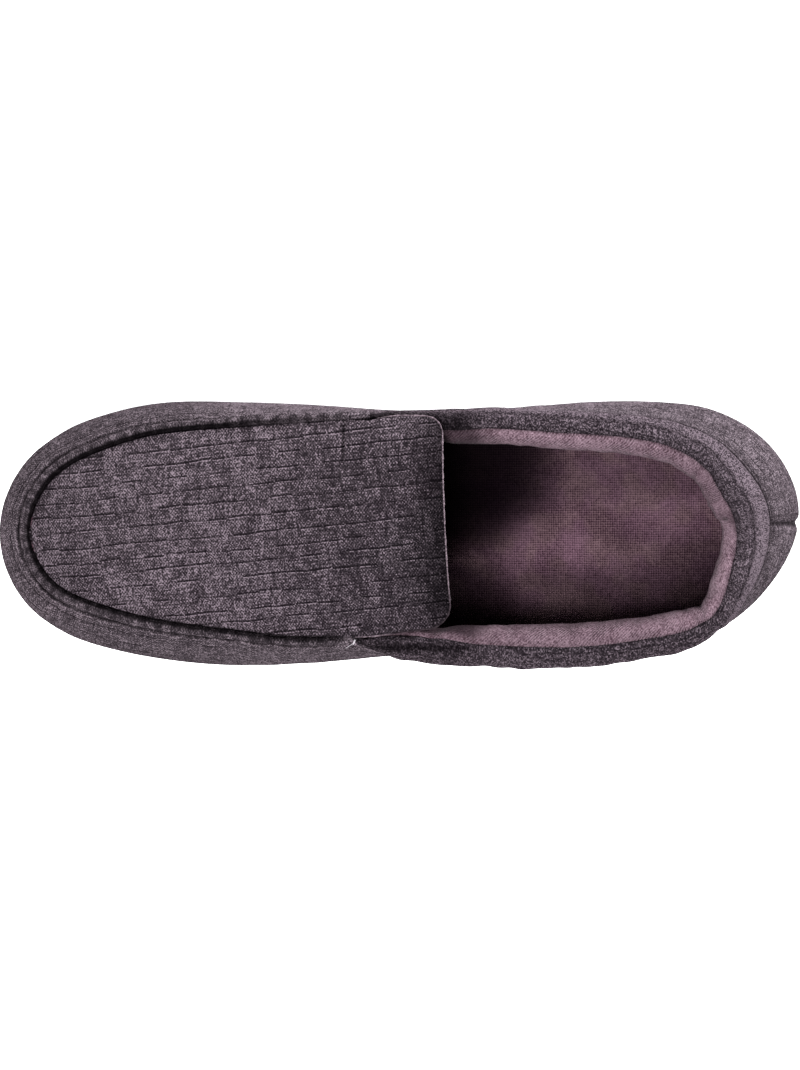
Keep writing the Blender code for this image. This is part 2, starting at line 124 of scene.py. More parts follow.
class Outline:
    """The station table as smooth closed curves of the distance round the shoe."""

    def __init__(self):
        rows = np.array(list(STATIONS.values()), float)
        steps = np.linalg.norm(np.roll(rows[:, :2], -1, axis=0) - rows[:, :2], axis=1)
        self.knots = np.concatenate([[0], np.cumsum(steps)])
        self.length = self.knots[-1]
        self.curves = {}
        for name, values in zip(COLUMNS, rows.T):
            slopes = (np.roll(values, -1) - values) / steps
            if name in ("along", "across"):
                tangents = smooth_tangents(steps, slopes)
            else:
                tangents = level_tangents(np.roll(slopes, 1), slopes)
            self.curves[name] = np.append(values, values[0]), np.append(tangents, tangents[0])

    def station(self, name):
        return self.knots[list(STATIONS).index(name)]

    def value(self, name, distance):
        return on_curve(self.knots, *self.curves[name], distance % self.length)

    def outward(self, distance):
        """Unit vector in plan, square to the widest line and away from the foot."""
        reach = 0.5
        x = self.value("along", distance + reach) - self.value("along", distance - reach)
        y = self.value("across", distance + reach) - self.value("across", distance - reach)
        size = np.hypot(x, y)
        return -y / size, x / size

    def placed(self, distance, offset, height):
        """Points at an offset outside the widest line, as an array of x, y and z."""
        out_x, out_y = self.outward(distance)
        x = self.value("along", distance) + offset * out_x
        y = self.value("across", distance) + offset * out_y
        return np.stack(np.broadcast_arrays(x, y, height), axis=-1)


outline = Outline()


def between(start, end, steps):
    """Distances from one station up to, and without, the next one."""
    first, last = outline.station(start), outline.station(end)
    if last <= first:
        last += outline.length
    return first + (last - first) * np.arange(steps) / steps


# Sections round the shoe, as many on one side as on the other
STEPS_HEEL_TO_CUFF_TIP, STEPS_CUFF_TIP_TO_THROAT, STEPS_THROAT_TO_TOE = 160, 16, 144
LEGS = (
    ("heel back", "cuff tip lateral", STEPS_HEEL_TO_CUFF_TIP),
    ("cuff tip lateral", "throat lateral", STEPS_CUFF_TIP_TO_THROAT),
    ("throat lateral", "toe tip", STEPS_THROAT_TO_TOE),
    ("toe tip", "throat medial", STEPS_THROAT_TO_TOE),
    ("throat medial", "cuff tip medial", STEPS_CUFF_TIP_TO_THROAT),
    ("cuff tip medial", "heel back", STEPS_HEEL_TO_CUFF_TIP),
)
sections = np.concatenate([between(*leg) for leg in LEGS])
TOE = len(sections) // 2
CUFF_TIP = STEPS_HEEL_TO_CUFF_TIP
THROAT = CUFF_TIP + STEPS_CUFF_TIP_TO_THROAT

# Where the drawing's origin lies in the frame: the wall fills the shoe's box in plan
MM = 0.001
low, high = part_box("upper")
widest = outline.placed(sections, 0, 0)
plan_centre = (widest.min(axis=0) + widest.max(axis=0)) / 2
shift = np.array([(low.x + high.x) / 2, (low.y + high.y) / 2, 0]) - plan_centre * MM

TOE_SPRING, SPRING_START = 7.0, 52.0
ARCH_RISE, ARCH_REAR, ARCH_FRONT = 1.4, -48.0, 12.0
SOLE_THICKNESS, SOLE_INSET, SOLE_EDGE_ROUND = 9.0, 2.6, 1.6


def ramp(value, start, end):
    """Share that runs from 0 at one value to 1 at another, and stays so beyond them."""
    return np.clip((value - start) / (end - start), 0, 1)


def bell(value, width):
    """1 where the value is nothing, falling away over the width on both sides."""
    return np.exp(-((value / width) ** 2))


def rounded_edge(radius, steps):
    """Offsets and heights round the quarter circle from the top of an edge to its side."""
    turn = np.linspace(0, np.pi / 2, steps)
    return radius * np.sin(turn) - radius, radius * np.cos(turn) - radius


def spring(along):
    """Rise of the sole towards the toe."""
    share = (along - SPRING_START) / (STATIONS["toe tip"][0] - SPRING_START)
    return TOE_SPRING * np.clip(share, 0, None) ** 2


def arch(along):
    """Rise of the sole's underside at the waist."""
    return ARCH_RISE * np.sin(np.pi * ramp(along, ARCH_REAR, ARCH_FRONT)) ** 2


def sole_top(along):
    return SOLE_THICKNESS + spring(along)


class Shape:
    """Points and faces of one mesh, with values at each point for its material to read."""

    def __init__(self):
        self.points, self.faces, self.values, self.count = [], [], [], 0

    def add(self, points, **values):
        """Adds an array of points and returns their numbers in the same arrangement."""
        number = self.count + np.arange(points[..., 0].size).reshape(points.shape[:-1])
        self.points.append(points.reshape(-1, 3))
        spread = {name: np.broadcast_to(value, number.shape).ravel() for name, value in values.items()}
        self.values.append(spread)
        self.count += number.size
        return number

    def quads(self, number, wrap_rows=False, wrap_columns=False):
        """Joins a grid of numbered points."""
        if wrap_rows:
            number = np.concatenate([number, number[:1]])
        if wrap_columns:
            number = np.concatenate([number, number[:, :1]], axis=1)
        corners = (number[:-1, :-1], number[:-1, 1:], number[1:, 1:], number[1:, :-1])
        self.faces += np.stack(corners, axis=-1).reshape(-1, 4).tolist()

    def fan(self, tip, row):
        self.faces += [[tip, first, second] for first, second in zip(row[:-1], row[1:])]

    def made(self, name, material):
        """The object, in the frame's place and metres."""
        mesh = bpy.data.meshes.new(name)
        mesh.from_pydata((np.concatenate(self.points) * MM + shift).tolist(), [], self.faces)
        for key in self.values[0]:
            data = np.concatenate([values[key] for values in self.values]).astype(np.float32)
            mesh.attributes.new(key, "FLOAT", "POINT").data.foreach_set("value", data)
        mesh.shade_smooth()
        mesh.materials.append(material)
        obj = bpy.data.objects.new(name, mesh)
        bpy.context.scene.collection.objects.link(obj)
        return obj


def caps(shape, edge, heights, across):
    """Fills the inside of a closed edge with rows across the shoe; heights gives z from x and the share."""
    ring = np.concatenate(shape.points)[edge]
    lateral, medial = ring[1:TOE], ring[:TOE:-1]
    share = np.linspace(0, 1, across + 1)[1:-1, None]
    rows = lateral[:, None] * (1 - share) + medial[:, None] * share
    rows[..., 2] = heights(rows[..., 0], share[:, 0])
    inner = shape.add(rows)
    number = np.concatenate([edge[1:TOE, None], inner, edge[:TOE:-1, None]], axis=1)
    shape.quads(number)
    shape.fan(edge[0], number[0][::-1])
    shape.fan(edge[TOE], number[-1])


class Signal:
    """One varying value of a material, on which arithmetic adds Math nodes."""

    def __init__(self, tree, socket):
        self.tree, self.socket = tree, socket

    def node(self, kind, settings, inputs, output=0):
        """Adds a node with its settings, then its socket values and links, and gives one of its outputs."""
        made = self.tree.nodes.new(kind)
        for name, value in settings.items():
            setattr(made, name, value)
        for key, value in inputs.items():
            if isinstance(value, Signal):
                self.tree.links.new(value.socket, made.inputs[key])
            else:
                made.inputs[key].default_value = value
        return Signal(self.tree, made.outputs[output])

    def math(self, operation, *terms):
        return self.node("ShaderNodeMath", {"operation": operation}, dict(enumerate(terms)))

    def __add__(self, other):
        return self.math("ADD", self, other)

    __radd__ = __add__

    def __sub__(self, other):
        return self.math("SUBTRACT", self, other)

    def __rsub__(self, other):
        return self.math("SUBTRACT", other, self)

    def __mul__(self, other):
        return self.math("MULTIPLY", self, other)

    __rmul__ = __mul__

    def __truediv__(self, other):
        return self.math("DIVIDE", self, other)

    def __rtruediv__(self, other):
        return self.math("DIVIDE", other, self)

    def __pow__(self, other):
        return self.math("POWER", self, other)

    def __rpow__(self, other):
        return self.math("POWER", other, self)

    def __abs__(self):
        return self.math("ABSOLUTE", self)

    def __floor__(self):
        return self.math("FLOOR", self)

    def part(self):
        """What is left over the whole number below."""
        return self.math("FRACT", self)

    def wave(self):
        """Sine of the value taken as turns, from -1 to 1."""
        return self.math("SINE", self * (2 * math.pi))

    def chance(self):
        """A number from 0 to 1 that looks random, the same wherever the value is the same."""
        return self.math("FRACT", self.math("SINE", self * 12.9898 + 4.1) * 43758.5)

    def step(self, low, high):
        """0 below low and 1 above high, smooth between."""
        limits = {"Value": self, "From Min": low, "From Max": high}
        return self.node("ShaderNodeMapRange", {"interpolation_type": "SMOOTHSTEP"}, limits)

    def noise(self, size, detail=2.0, rough=0.5):
        """Cloudy noise from 0 to 1 over a place in metres, with patches about size millimetres across."""
        inputs = {"Vector": self, "Scale": 1 / (size * MM), "Detail": detail, "Roughness": rough}
        return self.node("ShaderNodeTexNoise", {}, inputs)

    def colour(self, first, second):
        """Colour between two others, by this share."""
        inputs = {0: self, 6: first, 7: second}
        return self.node("ShaderNodeMix", {"data_type": "RGBA", "clamp_factor": True}, inputs, output=2)

    def bump(self, depth):
        """Surface direction for a height from 0 to 1 that stands for this many millimetres."""
        return self.node("ShaderNodeBump", {}, {"Strength": 1.0, "Distance": depth * MM, "Height": self})


def start_material(name, constants):
    """Starts a material with its unvarying sockets: gives its place and a function that links the rest."""
    material = bpy.data.materials.new(name)
    material.use_nodes = True
    tree = material.node_tree
    shader = tree.nodes["Principled BSDF"]
    for socket, value in constants.items():
        shader.inputs[socket].default_value = value
    place = Signal(tree, tree.nodes.new("ShaderNodeTexCoord").outputs["Object"])

    def link(**signals):
        for socket, signal in signals.items():
            tree.links.new(signal.socket, shader.inputs[socket.replace("_", " ")])
        return material

    return place, link


def attribute(place, name):
    return place.node("ShaderNodeAttribute", {"attribute_name": name}, {}, output="Fac")


def rubber():
    """Matt dark rubber, a little dusty, with a pebbled skin."""
    dark, dusty = (0.013, 0.012, 0.013, 1), (0.021, 0.019, 0.021, 1)
    place, link = start_material("sole_rubber", {"Specular IOR Level": 0.2})
    dust = place.noise(9, detail=4)
    pebble = place.noise(0.7, detail=1)
    return link(
        Base_Color=dust.step(0.35, 0.75).colour(dark, dusty),
        Roughness=0.70 + 0.25 * dust,
        Normal=pebble.bump(0.12),
    )


SIDE_LINE_WIDTH, SIDE_LINE_DEPTH = 0.7, 0.5
TREAD_PITCH, TREAD_DEPTH = 7.0, 0.6
TREAD_SHARE, TREAD_REACH = 0.86, 134.0  # how much of the sole's width the bars take up, and how far they go


def outsole():
    shape = Shape()
    along = outline.placed(sections, -SOLE_INSET, 0)[:, 0]
    top, bottom = sole_top(along)[:, None], (spring(along) + arch(along))[:, None]
    round_out, round_up = rounded_edge(SOLE_EDGE_ROUND, 6)
    corner = round_out + 0 * top
    side = np.linspace(0.1, 0.9, 25)
    span = top - bottom - 2 * SOLE_EDGE_ROUND
    line = -SIDE_LINE_DEPTH * bell((side - 0.5) * span, SIDE_LINE_WIDTH)
    offset = np.concatenate([corner, line, corner[:, ::-1]], axis=1)
    heights = [top + round_up, top - SOLE_EDGE_ROUND - side * span, bottom - round_up[::-1]]
    rings = outline.placed(sections[:, None], offset - SOLE_INSET, np.concatenate(heights, axis=1))
    number = shape.add(rings[:, ::-1])
    shape.quads(number, wrap_rows=True)

    def underside(x, share):
        bars = np.sin(2 * np.pi * x / TREAD_PITCH) > 0
        inside = (np.abs(2 * share - 1) < TREAD_SHARE) & (np.abs(x) < TREAD_REACH)
        return spring(x) + arch(x) + TREAD_DEPTH * (bars & inside)

    caps(shape, number[:, -1], lambda x, share: sole_top(x), across=24)
    caps(shape, number[:, 0], underside, across=24)
    return shape.made("outsole_rubber", rubber())


sole = outsole()
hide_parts("outsole")
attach(sole, "root")


# Insole
# A padded sock cut to the inside of the wall: foam under mauve terry velour, glued down on the turned-in
# foot of the wall. Its pile has a fine square grid, and brushing has left soft smudges in it.

GAP = 0.3  # clearance between pieces that meet
TUCK = 5.0  # how far the wall turns in from its widest line to the sole
INSOLE_THICKNESS, INSOLE_CUP, INSOLE_EDGE_ROUND, CUP_POWER = 5.0, 2.2, 1.2, 4
TERRY_PITCH = 0.85

# Painted shadow of the flap on the insole: place across the shoe, how far back it reaches, how dark
FLAP_SHADOW = (
    (-46.0, -60.0, 0.97),
    (-30.0, -58.0, 0.97),
    (-14.0, -57.0, 0.97),
    (-8.0, -51.5, 0.97),
    (1.0, -42.0, 0.90),
    (5.0, -40.5, 0.64),
    (9.5, -40.0, 0.36),
    (14.0, -39.5, 0.70),
    (27.0, -43.0, 0.85),
    (42.0, -46.0, 0.85),
)
SHADOW_EDGE = 4.5

# Painted shade on the pile towards the heel, more so on a band of the outer half, and along the collar
HEEL_SHADE, OUTER_BAND_SHADE = 0.15, 0.30
HEEL_STARTS, BAND_STARTS, BAND_ENDS = (-64, -114), (-2, 4), (15, 21)
INNER_COLLAR_SHADE, INNER_COLLAR_STARTS = 0.38, (-7, -17)
OUTER_COLLAR_SHADE, OUTER_COLLAR, OUTER_COLLAR_WIDTH = 0.36, 17.0, 5.0


def past(value, softness):
    """0 well below nothing and 1 well above it, soft between."""
    return 1 / (1 + np.exp(-value / softness))


def stitches(along, across, pitch_along, pitch_across, slip=0.0):
    """A random number from 0 to 1 for each stitch of a cloth; slip sets a row off from the one before."""
    row = math.floor(across / pitch_across)
    inputs = {"X": math.floor(along / pitch_along + slip * row), "Y": row}
    place = along.node("ShaderNodeCombineXYZ", {}, inputs)
    return place.node("ShaderNodeTexWhiteNoise", {"noise_dimensions": "2D"}, {"Vector": place})


def terry():
    dark, purple, tan = (0.020, 0.009, 0.014, 1), (0.138, 0.078, 0.106, 1), (0.146, 0.090, 0.103, 1)
    black = (0.001, 0.0005, 0.001, 1)
    place, link = start_material("insole_terry", {"Roughness": 1.0, "Specular IOR Level": 0.0})
    drift = 0.8 * (place.noise(14) - 0.5)
    along, across = attribute(place, "along") + drift, attribute(place, "across") + drift
    threads = (along / TERRY_PITCH).wave() + (across / TERRY_PITCH).wave()
    loops = stitches(along, across, TERRY_PITCH, TERRY_PITCH) - 0.5
    fuzz = place.noise(0.5, detail=2, rough=0.7) - 0.5
    smudge = place.noise(17, detail=3).step(0.35, 0.7) - 0.5
    matted = place.noise(4.5, detail=3).step(0.55, 0.72)
    tone = 0.40 + 0.16 * threads + 0.20 * loops + 0.9 * fuzz + 0.30 * smudge + 0.14 * matted
    hue = place.noise(10, detail=3).step(0.40, 0.62)
    height = 0.5 + 0.2 * threads + 0.3 * loops + 0.5 * fuzz
    return link(
        Base_Color=attribute(place, "shade").colour(tone.colour(dark, hue.colour(purple, tan)), black),
        Normal=height.bump(0.5),
    )


def insole():
    shape = Shape()
    outer = -TUCK - GAP
    along = outline.placed(sections, outer, 0)[:, 0]
    base = sole_top(along)[:, None] + GAP
    round_out, round_up = rounded_edge(INSOLE_EDGE_ROUND, 5)
    offset = outer + np.concatenate([round_out, round_out[::-1]])
    height = np.concatenate([base + INSOLE_THICKNESS + round_up, base - round_up[::-1]], axis=1)
    number = shape.add(outline.placed(sections[:, None], offset, height)[:, ::-1])
    shape.quads(number, wrap_rows=True)

    def top(x, share):
        dip = INSOLE_CUP * (1 - np.abs(2 * share - 1) ** CUP_POWER)
        return sole_top(x) + GAP + INSOLE_THICKNESS - dip

    caps(shape, number[:, -1], top, across=40)
    caps(shape, number[:, 0], lambda x, share: sole_top(x) + GAP, across=8)
    x, y, _ = np.concatenate(shape.points).T
    # Painted shadow of the flap across the front of the insole
    places, reaches, depths = zip(*FLAP_SHADOW)
    shadow = np.interp(y, places, depths) * past(x - np.interp(y, places, reaches), SHADOW_EDGE)
    # Painted shade towards the heel, deeper on a band of the outer half
    band = ramp(y, *BAND_STARTS) - 1.3 * ramp(y, *BAND_ENDS)
    heel_shade = (HEEL_SHADE + OUTER_BAND_SHADE * band) * ramp(x, *HEEL_STARTS)
    # Painted shade of the collar on the pile along each side
    collar_shade = INNER_COLLAR_SHADE * ramp(y, *INNER_COLLAR_STARTS)
    collar_shade += OUTER_COLLAR_SHADE * bell(y - OUTER_COLLAR, OUTER_COLLAR_WIDTH)
    shape.values = [{"along": x, "across": y, "shade": np.max([shadow, heel_shade, collar_shade], axis=0)}]
    return shape.made("insole_velour", terry())


sock = insole()
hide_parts("insole")
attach(sock, "root")


# Wall of the upper
# One band of brushed heather knit on foam that stands round the foot and turns in under it. Its front edge
# is rolled and sewn to the plug as a raised seam, with a stitched crease outside the roll, and its two ends
# meet at the back of the heel in a sunken seam.

WALL, FACE = 3.0, 1.5  # thickness of the wall, and of its knit and foam without the lining
WIDEST_ABOVE_SOLE = 12.0
BEAD_WIDTH, BEAD_RISE, BEAD_FULLNESS = 3.6, 1.0, 0.9
BEAD_TAPER, BEAD_TAPERS = 0.9, (90, 50)  # it gets narrower towards the rear
CREASE_WIDTH, CREASE_DEPTH = 1.8, 0.5
EDGE_DROP, EDGE_TURN, EDGE_THICKNESS = 2.6, 0.25, 1.1  # the rolled edge runs down into a groove by the plug
SEWN_BAND = BEAD_WIDTH + CREASE_WIDTH + 2  # width of the edge that needs a close mesh
TUCK_LENGTH = 8.0  # cloth from the widest line to the sole
STITCH_PITCH, STITCH_PUCKER, STITCH_REACH = 4.4, 0.16, 2.6
GATHER_PITCH, GATHER_RISE, GATHER_LENGTH = 8.6, 0.22, 7.0  # soft gathers that hang from the stitched crease
BACK_SEAM_ACROSS, BACK_SEAM_WIDTH, BACK_SEAM_DEPTH = -5.0, 1.5, 1.3
RIDGE_AWAY = 1.9  # half widths from a crease to the low ridge on each side of it

# Painted shade in the groove, the stitched crease and the back seam, and under the roll: how dark, how wide
# or soft, and the stretches along the shoe over which they come in or fade
GROOVE_SHADE, GROOVE_CORE, GROOVE_SOFT = 0.47, 0.4, 1.2
GROOVE_FADES, GROOVE_ENDS = (60, 15), (21, 16)  # on the inner side, and by the bar tack on the outer
STITCH_LINE_WIDTH, STITCH_LINE_FADES = 0.6, (118, 98)
BACK_LINE, BACK_LINE_WIDTH = 0.95, 0.8
UNDER_ROLL, UNDER_ROLL_SOFT, UNDER_ROLL_STARTS = 0.86, 0.22, (-60, -120)
ROLL_SHADOW = ((-144.0, 1.6), (-117.0, 2.0), (-94.0, 3.6), (-70.0, 5.0))  # along, how far down it goes
AT_HEEL, AT_HEEL_REACH, AT_HEEL_STARTS = 0.48, 3.6, (-122, -134)

# Lighter places: ribs across the rolled edge, a painted highlight on the lips of the crease, a lighter wall
# low down, in its middle and at the toe, and painted light on its inner side; painted shade on its outer
# side, less at the heel
BEAD_RIB, RIB_TONE = 1.3, 0.13
LIP_AWAY, LIP_WIDTH, LIP_HIGHLIGHT = 1.2, 0.6, 0.13
LIGHTER_LOW, LIGHTER_MIDDLE, LIGHTER_TOE, LOW_STARTS = 0.05, 0.08, 0.06, (4, 14)
MIDDLE_STARTS, MIDDLE_ENDS, TOE_STARTS = (-90, -40), (80, 50), (110, 130)
INNER_LIGHT, INNER_STARTS, INNER_ENDS = 0.10, (-145, -85), (90, 50)
OUTER_SHADE, OUTER_HEEL_TONE, OUTER_HEEL_STARTS = -0.06, 0.16, (-112, -124)

# The collar's dark front on the outer side, with a pale fold along its slanting edge and a wash before it
COLLAR_FRONT, FRONT_SLOPE, FRONT_STARTS, FRONT_DEPTH = 13.2, 0.75, (-18.8, -8.8), (10, 7)
FRONT_TONE, FRONT_SOFT = -0.24, 0.5
FOLD_TONE, FOLD_AHEAD, FOLD_WIDTH = 0.46, 0.3, 0.6
WASH_TONE, WASH_REACH = 0.13, 5.0

# Soft creases: distance along the shoe, side, distance below the top edge, slant in degrees from the
# edge's direction, half length, half width and depth
WALL_CREASES = (
    (46.0, "lateral", 15.0, 62, 12.0, 3.2, 0.8),
    (58.0, "lateral", 13.0, 74, 9.0, 2.8, 0.5),
    (30.0, "lateral", 17.0, 55, 10.0, 3.2, 0.6),
    (50.0, "medial", 16.0, -60, 12.0, 3.4, 0.8),
    (34.0, "medial", 18.0, -70, 10.0, 3.0, 0.6),
    (66.0, "medial", 14.0, -76, 8.0, 2.6, 0.4),
    (-18.0, "lateral", 15.0, 82, 11.0, 3.6, 0.7),
    (-46.0, "lateral", 18.0, 96, 10.0, 4.0, 0.6),
    (-22.0, "medial", 15.0, -80, 11.0, 3.6, 0.7),
    (-56.0, "medial", 17.0, -98, 10.0, 4.0, 0.6),
    (-108.0, "lateral", 20.0, 14, 13.0, 3.4, 0.7),
    (-112.0, "medial", 21.0, -12, 13.0, 3.4, 0.7),
    (-140.0, "medial", 7.0, 52, 6.0, 1.4, 0.5),
    (118.0, "lateral", 19.0, 12, 12.0, 3.2, 0.4),
    (120.0, "medial", 19.0, -14, 12.0, 3.2, 0.4),
)


def distance_at(along, side):
    """Distance round the shoe of a place along one of its sides."""
    numbers = np.arange(1, TOE) if side == "lateral" else np.arange(len(sections) - 1, TOE, -1)
    return np.interp(along, widest[numbers, 0], sections[numbers])


def trough(across, ridge):
    """Depth of a soft crease across its line, less the low ridge on each side."""
    return bell(across, 1) - ridge * bell(np.abs(across) - RIDGE_AWAY, 1)


def creased(first, second, creases):
    """Relief of soft troughs with a low ridge on each side, over two surface directions in millimetres."""
    relief = np.zeros(np.broadcast(first, second).shape)
    for at_first, at_second, slant, length, width, depth in creases:
        turn = math.radians(slant)
        a, b = first - at_first, second - at_second
        lengthwise = a * math.cos(turn) + b * math.sin(turn)
        crosswise = b * math.cos(turn) - a * math.sin(turn)
        relief -= depth * bell(lengthwise, length) * trough(crosswise / width, ridge=0.4)
    return relief


def top_edge(distance):
    """Top edge of the wall as offset and height, and the ways along and out of its surface there."""
    lean = np.radians(outline.value("lean", distance))
    point = np.stack([-outline.value("inset", distance), outline.value("height", distance)])
    return point, np.stack([-np.sin(lean), np.cos(lean)]), np.stack([np.cos(lean), np.sin(lean)])


def upper_curve(distance, share):
    """Outer surface from the widest line (share 0) to the top edge (share 1), with the way it faces."""
    rise_handle, lean_handle = 0.45, 0.40
    top, rising, _ = top_edge(distance)
    level = sole_top(outline.value("along", distance)) + WIDEST_ABOVE_SOLE
    start = np.stack([np.zeros_like(level), level])
    first = start + np.stack([np.zeros_like(level), rise_handle * (top[1] - level)])
    second = top - lean_handle * np.linalg.norm(top - start, axis=0) * rising
    a, b = 1 - share, share
    point = a**3 * start + 3 * a * a * b * first + 3 * a * b * b * second + b**3 * top
    slope = a * a * (first - start) + 2 * a * b * (second - first) + b * b * (top - second)
    slope = slope / np.linalg.norm(slope, axis=0)
    return point, np.stack([slope[1], -slope[0]])


def tuck_curve(distance, turn, depth):
    """Lower part of the wall, a depth inside its outer surface, from the sole (turn 0) to its widest."""
    angle = turn * np.pi / 2
    offset = -TUCK + (TUCK - depth) * np.sin(angle)
    foot = sole_top(outline.placed(distance, offset, 0)[..., 0]) + GAP + depth
    level = sole_top(outline.value("along", distance)) + WIDEST_ABOVE_SOLE
    return np.stack([offset + 0 * foot, foot + (level - foot) * (1 - np.cos(angle))])


def wall_length(distance):
    start, _ = upper_curve(distance, 0.0)
    return np.linalg.norm(top_edge(distance)[0] - start, axis=0)


def bead_width(distance):
    return BEAD_WIDTH - BEAD_TAPER * ramp(outline.value("along", distance), *BEAD_TAPERS)


def crease_middle(distance):
    """How far below the top edge the stitched crease runs."""
    return bead_width(distance) + CREASE_WIDTH / 2


def seam_relief(distance, from_edge):
    """Rise of the raised seam over the wall, and the stitched crease beside it."""
    width = bead_width(distance)
    bead, crease = ramp(from_edge, 0, width), ramp(from_edge, width, width + CREASE_WIDTH)
    return BEAD_RISE * np.sin(np.pi * bead) ** BEAD_FULLNESS - CREASE_DEPTH * np.sin(np.pi * crease)


def cloth(name, material, grid, back, wrap=False, **values):
    """A closed sheet between a grid of points on its face and another on its back."""
    shape = Shape()
    face_number = shape.add(grid, **values)
    back_number = shape.add(back, **values)
    shape.quads(face_number, wrap)
    shape.quads(back_number[:, ::-1], wrap)
    for column in (0, -1):
        edges = [back_number[:, column], face_number[:, column]]
        shape.quads(np.stack(edges[:: 1 if column == 0 else -1], axis=1), wrap)
    if not wrap:
        for row in (0, -1):
            edges = [face_number[row], back_number[row]]
            shape.quads(np.stack(edges[:: 1 if row == -1 else -1]))
    return shape.made(name, material)


# Knitted-in lines: rows apart, length of a dash and of a block between the rows
LINE_PITCH, DASH, BLOCK = 5.4, 8.2, 4.4
# Threads: pitch of the warp and the weft, and size of one stitch of yarn
WARP_PITCH, WEFT_PITCH, YARN = 1.10, 1.36, 0.40
# Uneven colour: sizes along and across the threads of thin streaks, wide bands and patches
STREAKS, BANDS, PATCHES = ((0.6, 5.0), (5.0, 0.6)), ((2.2, 9.0), (9.0, 2.4)), ((2.6, 8.1), (8.8, 2.7))
TONE_START, TONE_RANGE = 0.22, 27  # share of the light colour at tone 0, and how many times more at tone 1


def weave_noise(along, across, size_along, size_across):
    """Noise drawn out along the threads of a cloth, from 0 to 1."""
    inputs = {"X": along / size_along, "Y": across / size_across}
    place = along.node("ShaderNodeCombineXYZ", {}, inputs)
    return place.node("ShaderNodeTexNoise", {}, {"Vector": place, "Scale": 1.0, "Detail": 1.0})


def heather(name, light, lines, clumps, salt):
    """Brushed heather knit: salt and pepper yarn, sunken lines in broken rows, and blocks between them.

    lines is how strongly the rows show, clumps how much the pile is matted, and salt how much the yarn's
    colour changes from stitch to stitch."""
    place, link = start_material(name, {"Roughness": 0.95, "Specular IOR Level": 0.0})
    drift = place.noise(24) - 0.5
    along = attribute(place, "weave_along") + 3.0 * drift
    level = attribute(place, "weave_across") + 2.4 * drift
    across = level / LINE_PITCH
    row = math.floor(across)
    luck = row.chance()
    worn = place.noise(2.2, detail=2).step(0.24, 0.40)

    dash = along / DASH + 7 * luck
    dash_luck = (math.floor(dash) * 0.61 + row * 2.37).chance()
    strength = (0.15 + 0.85 * dash_luck.step(0.15, 0.50)) * worn
    gap = (0.5 - abs(dash.part() - 0.5)) * DASH
    in_dash = gap.step(0.1, 0.5) * strength
    from_line = (across.part() - 0.30 - 0.25 * luck - 0.16 * dash_luck) * LINE_PITCH
    line = (1 - abs(from_line).step(0.14, 0.46)) * in_dash
    ridge = (1 - abs(from_line + 0.5).step(0.05, 0.34)) * in_dash

    block = along / BLOCK + 5 * luck
    block_luck = (math.floor(block) * 0.37 + row * 1.71).chance() - 0.5
    from_end = (0.5 - abs(block.part() - 0.5)) * BLOCK
    cross = (1 - from_end.step(0.06, 0.36)) * block_luck.step(0.05, 0.15) * worn
    streak = weave_noise(along, level, *STREAKS[0]) + weave_noise(along, level, *STREAKS[1]) - 1
    band = weave_noise(along, level, *BANDS[0]) + 0.6 * weave_noise(along, level, *BANDS[1]) - 0.8

    tall, wide = PATCHES
    patch = stitches(along, level, *tall, slip=0.3) + stitches(along, level, *wide, slip=0.45) - 1
    speck = stitches(along, level, YARN, YARN, slip=0.37) - 0.5
    picks = (level / WEFT_PITCH).wave()
    check = (along / WARP_PITCH).wave() * picks
    weft = check * (0.5 + stitches(along, level, WARP_PITCH / 2, WEFT_PITCH / 2)) + 0.25 * picks
    grain = place.noise(0.5, detail=1.0, rough=0.8) - 0.5
    clump = place.noise(1.5, detail=3, rough=0.6) - 0.5
    nap = place.noise(11, detail=2) - 0.5
    tone = salt * speck + 0.5 * grain + clumps * clump + 0.10 * nap + 0.52 * streak
    tone = tone + lines * (0.30 * weft + 0.20 * block_luck + 0.20 * band + 0.09 * patch)
    tone = tone + lines * (0.34 * ridge - 0.52 * line - 0.34 * cross)
    tone = TONE_START * TONE_RANGE ** (tone + attribute(place, "tone"))
    dark, black = (0.004, 0.003, 0.004, 1), (0.0008, 0.0006, 0.0008, 1)
    height = 0.5 + 0.25 * speck + 0.4 * grain + 0.8 * clump
    height = height + lines * (0.2 * ridge - 0.6 * line - 0.2 * cross)
    return link(
        Base_Color=attribute(place, "shade").colour(tone.colour(dark, light), black),
        Normal=height.bump(0.45),
    )


def from_back_seam(distance):
    """Distance round the shoe from the sunken seam at the back of the heel, on either side of it."""
    heel = np.concatenate([sections[-40:] - outline.length, sections[:40]])
    seam = np.interp(BACK_SEAM_ACROSS, outline.value("across", heel), heel)
    half = outline.length / 2
    return (distance - seam + half) % outline.length - half


def outer_and_inner(distance):
    """How far the wall faces the outer side of the foot and the inner one, each from 0 to 1."""
    across = outline.outward(distance)[1]
    return np.clip(across, 0, 1), np.clip(-across, 0, 1)


def wall_relief(distance, from_edge):
    """Rise of the wall's surface: raised seam, pull of its stitches, gathers below it, and creases."""
    middle = crease_middle(distance)
    stitch = np.cos(2 * np.pi * distance / STITCH_PITCH) * bell(from_edge - middle, STITCH_REACH)
    gather = np.sin(2 * np.pi * (distance / GATHER_PITCH + 0.35 * np.sin(distance / 9.7)))
    hanging = np.exp(-np.clip(from_edge - middle - CREASE_WIDTH / 2, 0, None) / GATHER_LENGTH)
    gather = gather * hanging * (from_edge > middle)
    sewn = seam_relief(distance, from_edge) - STITCH_PUCKER * stitch + GATHER_RISE * gather
    folds = [(distance_at(along, side), *fold) for along, side, *fold in WALL_CREASES]
    return outline.value("bead", distance) * sewn + creased(distance, from_edge, folds)


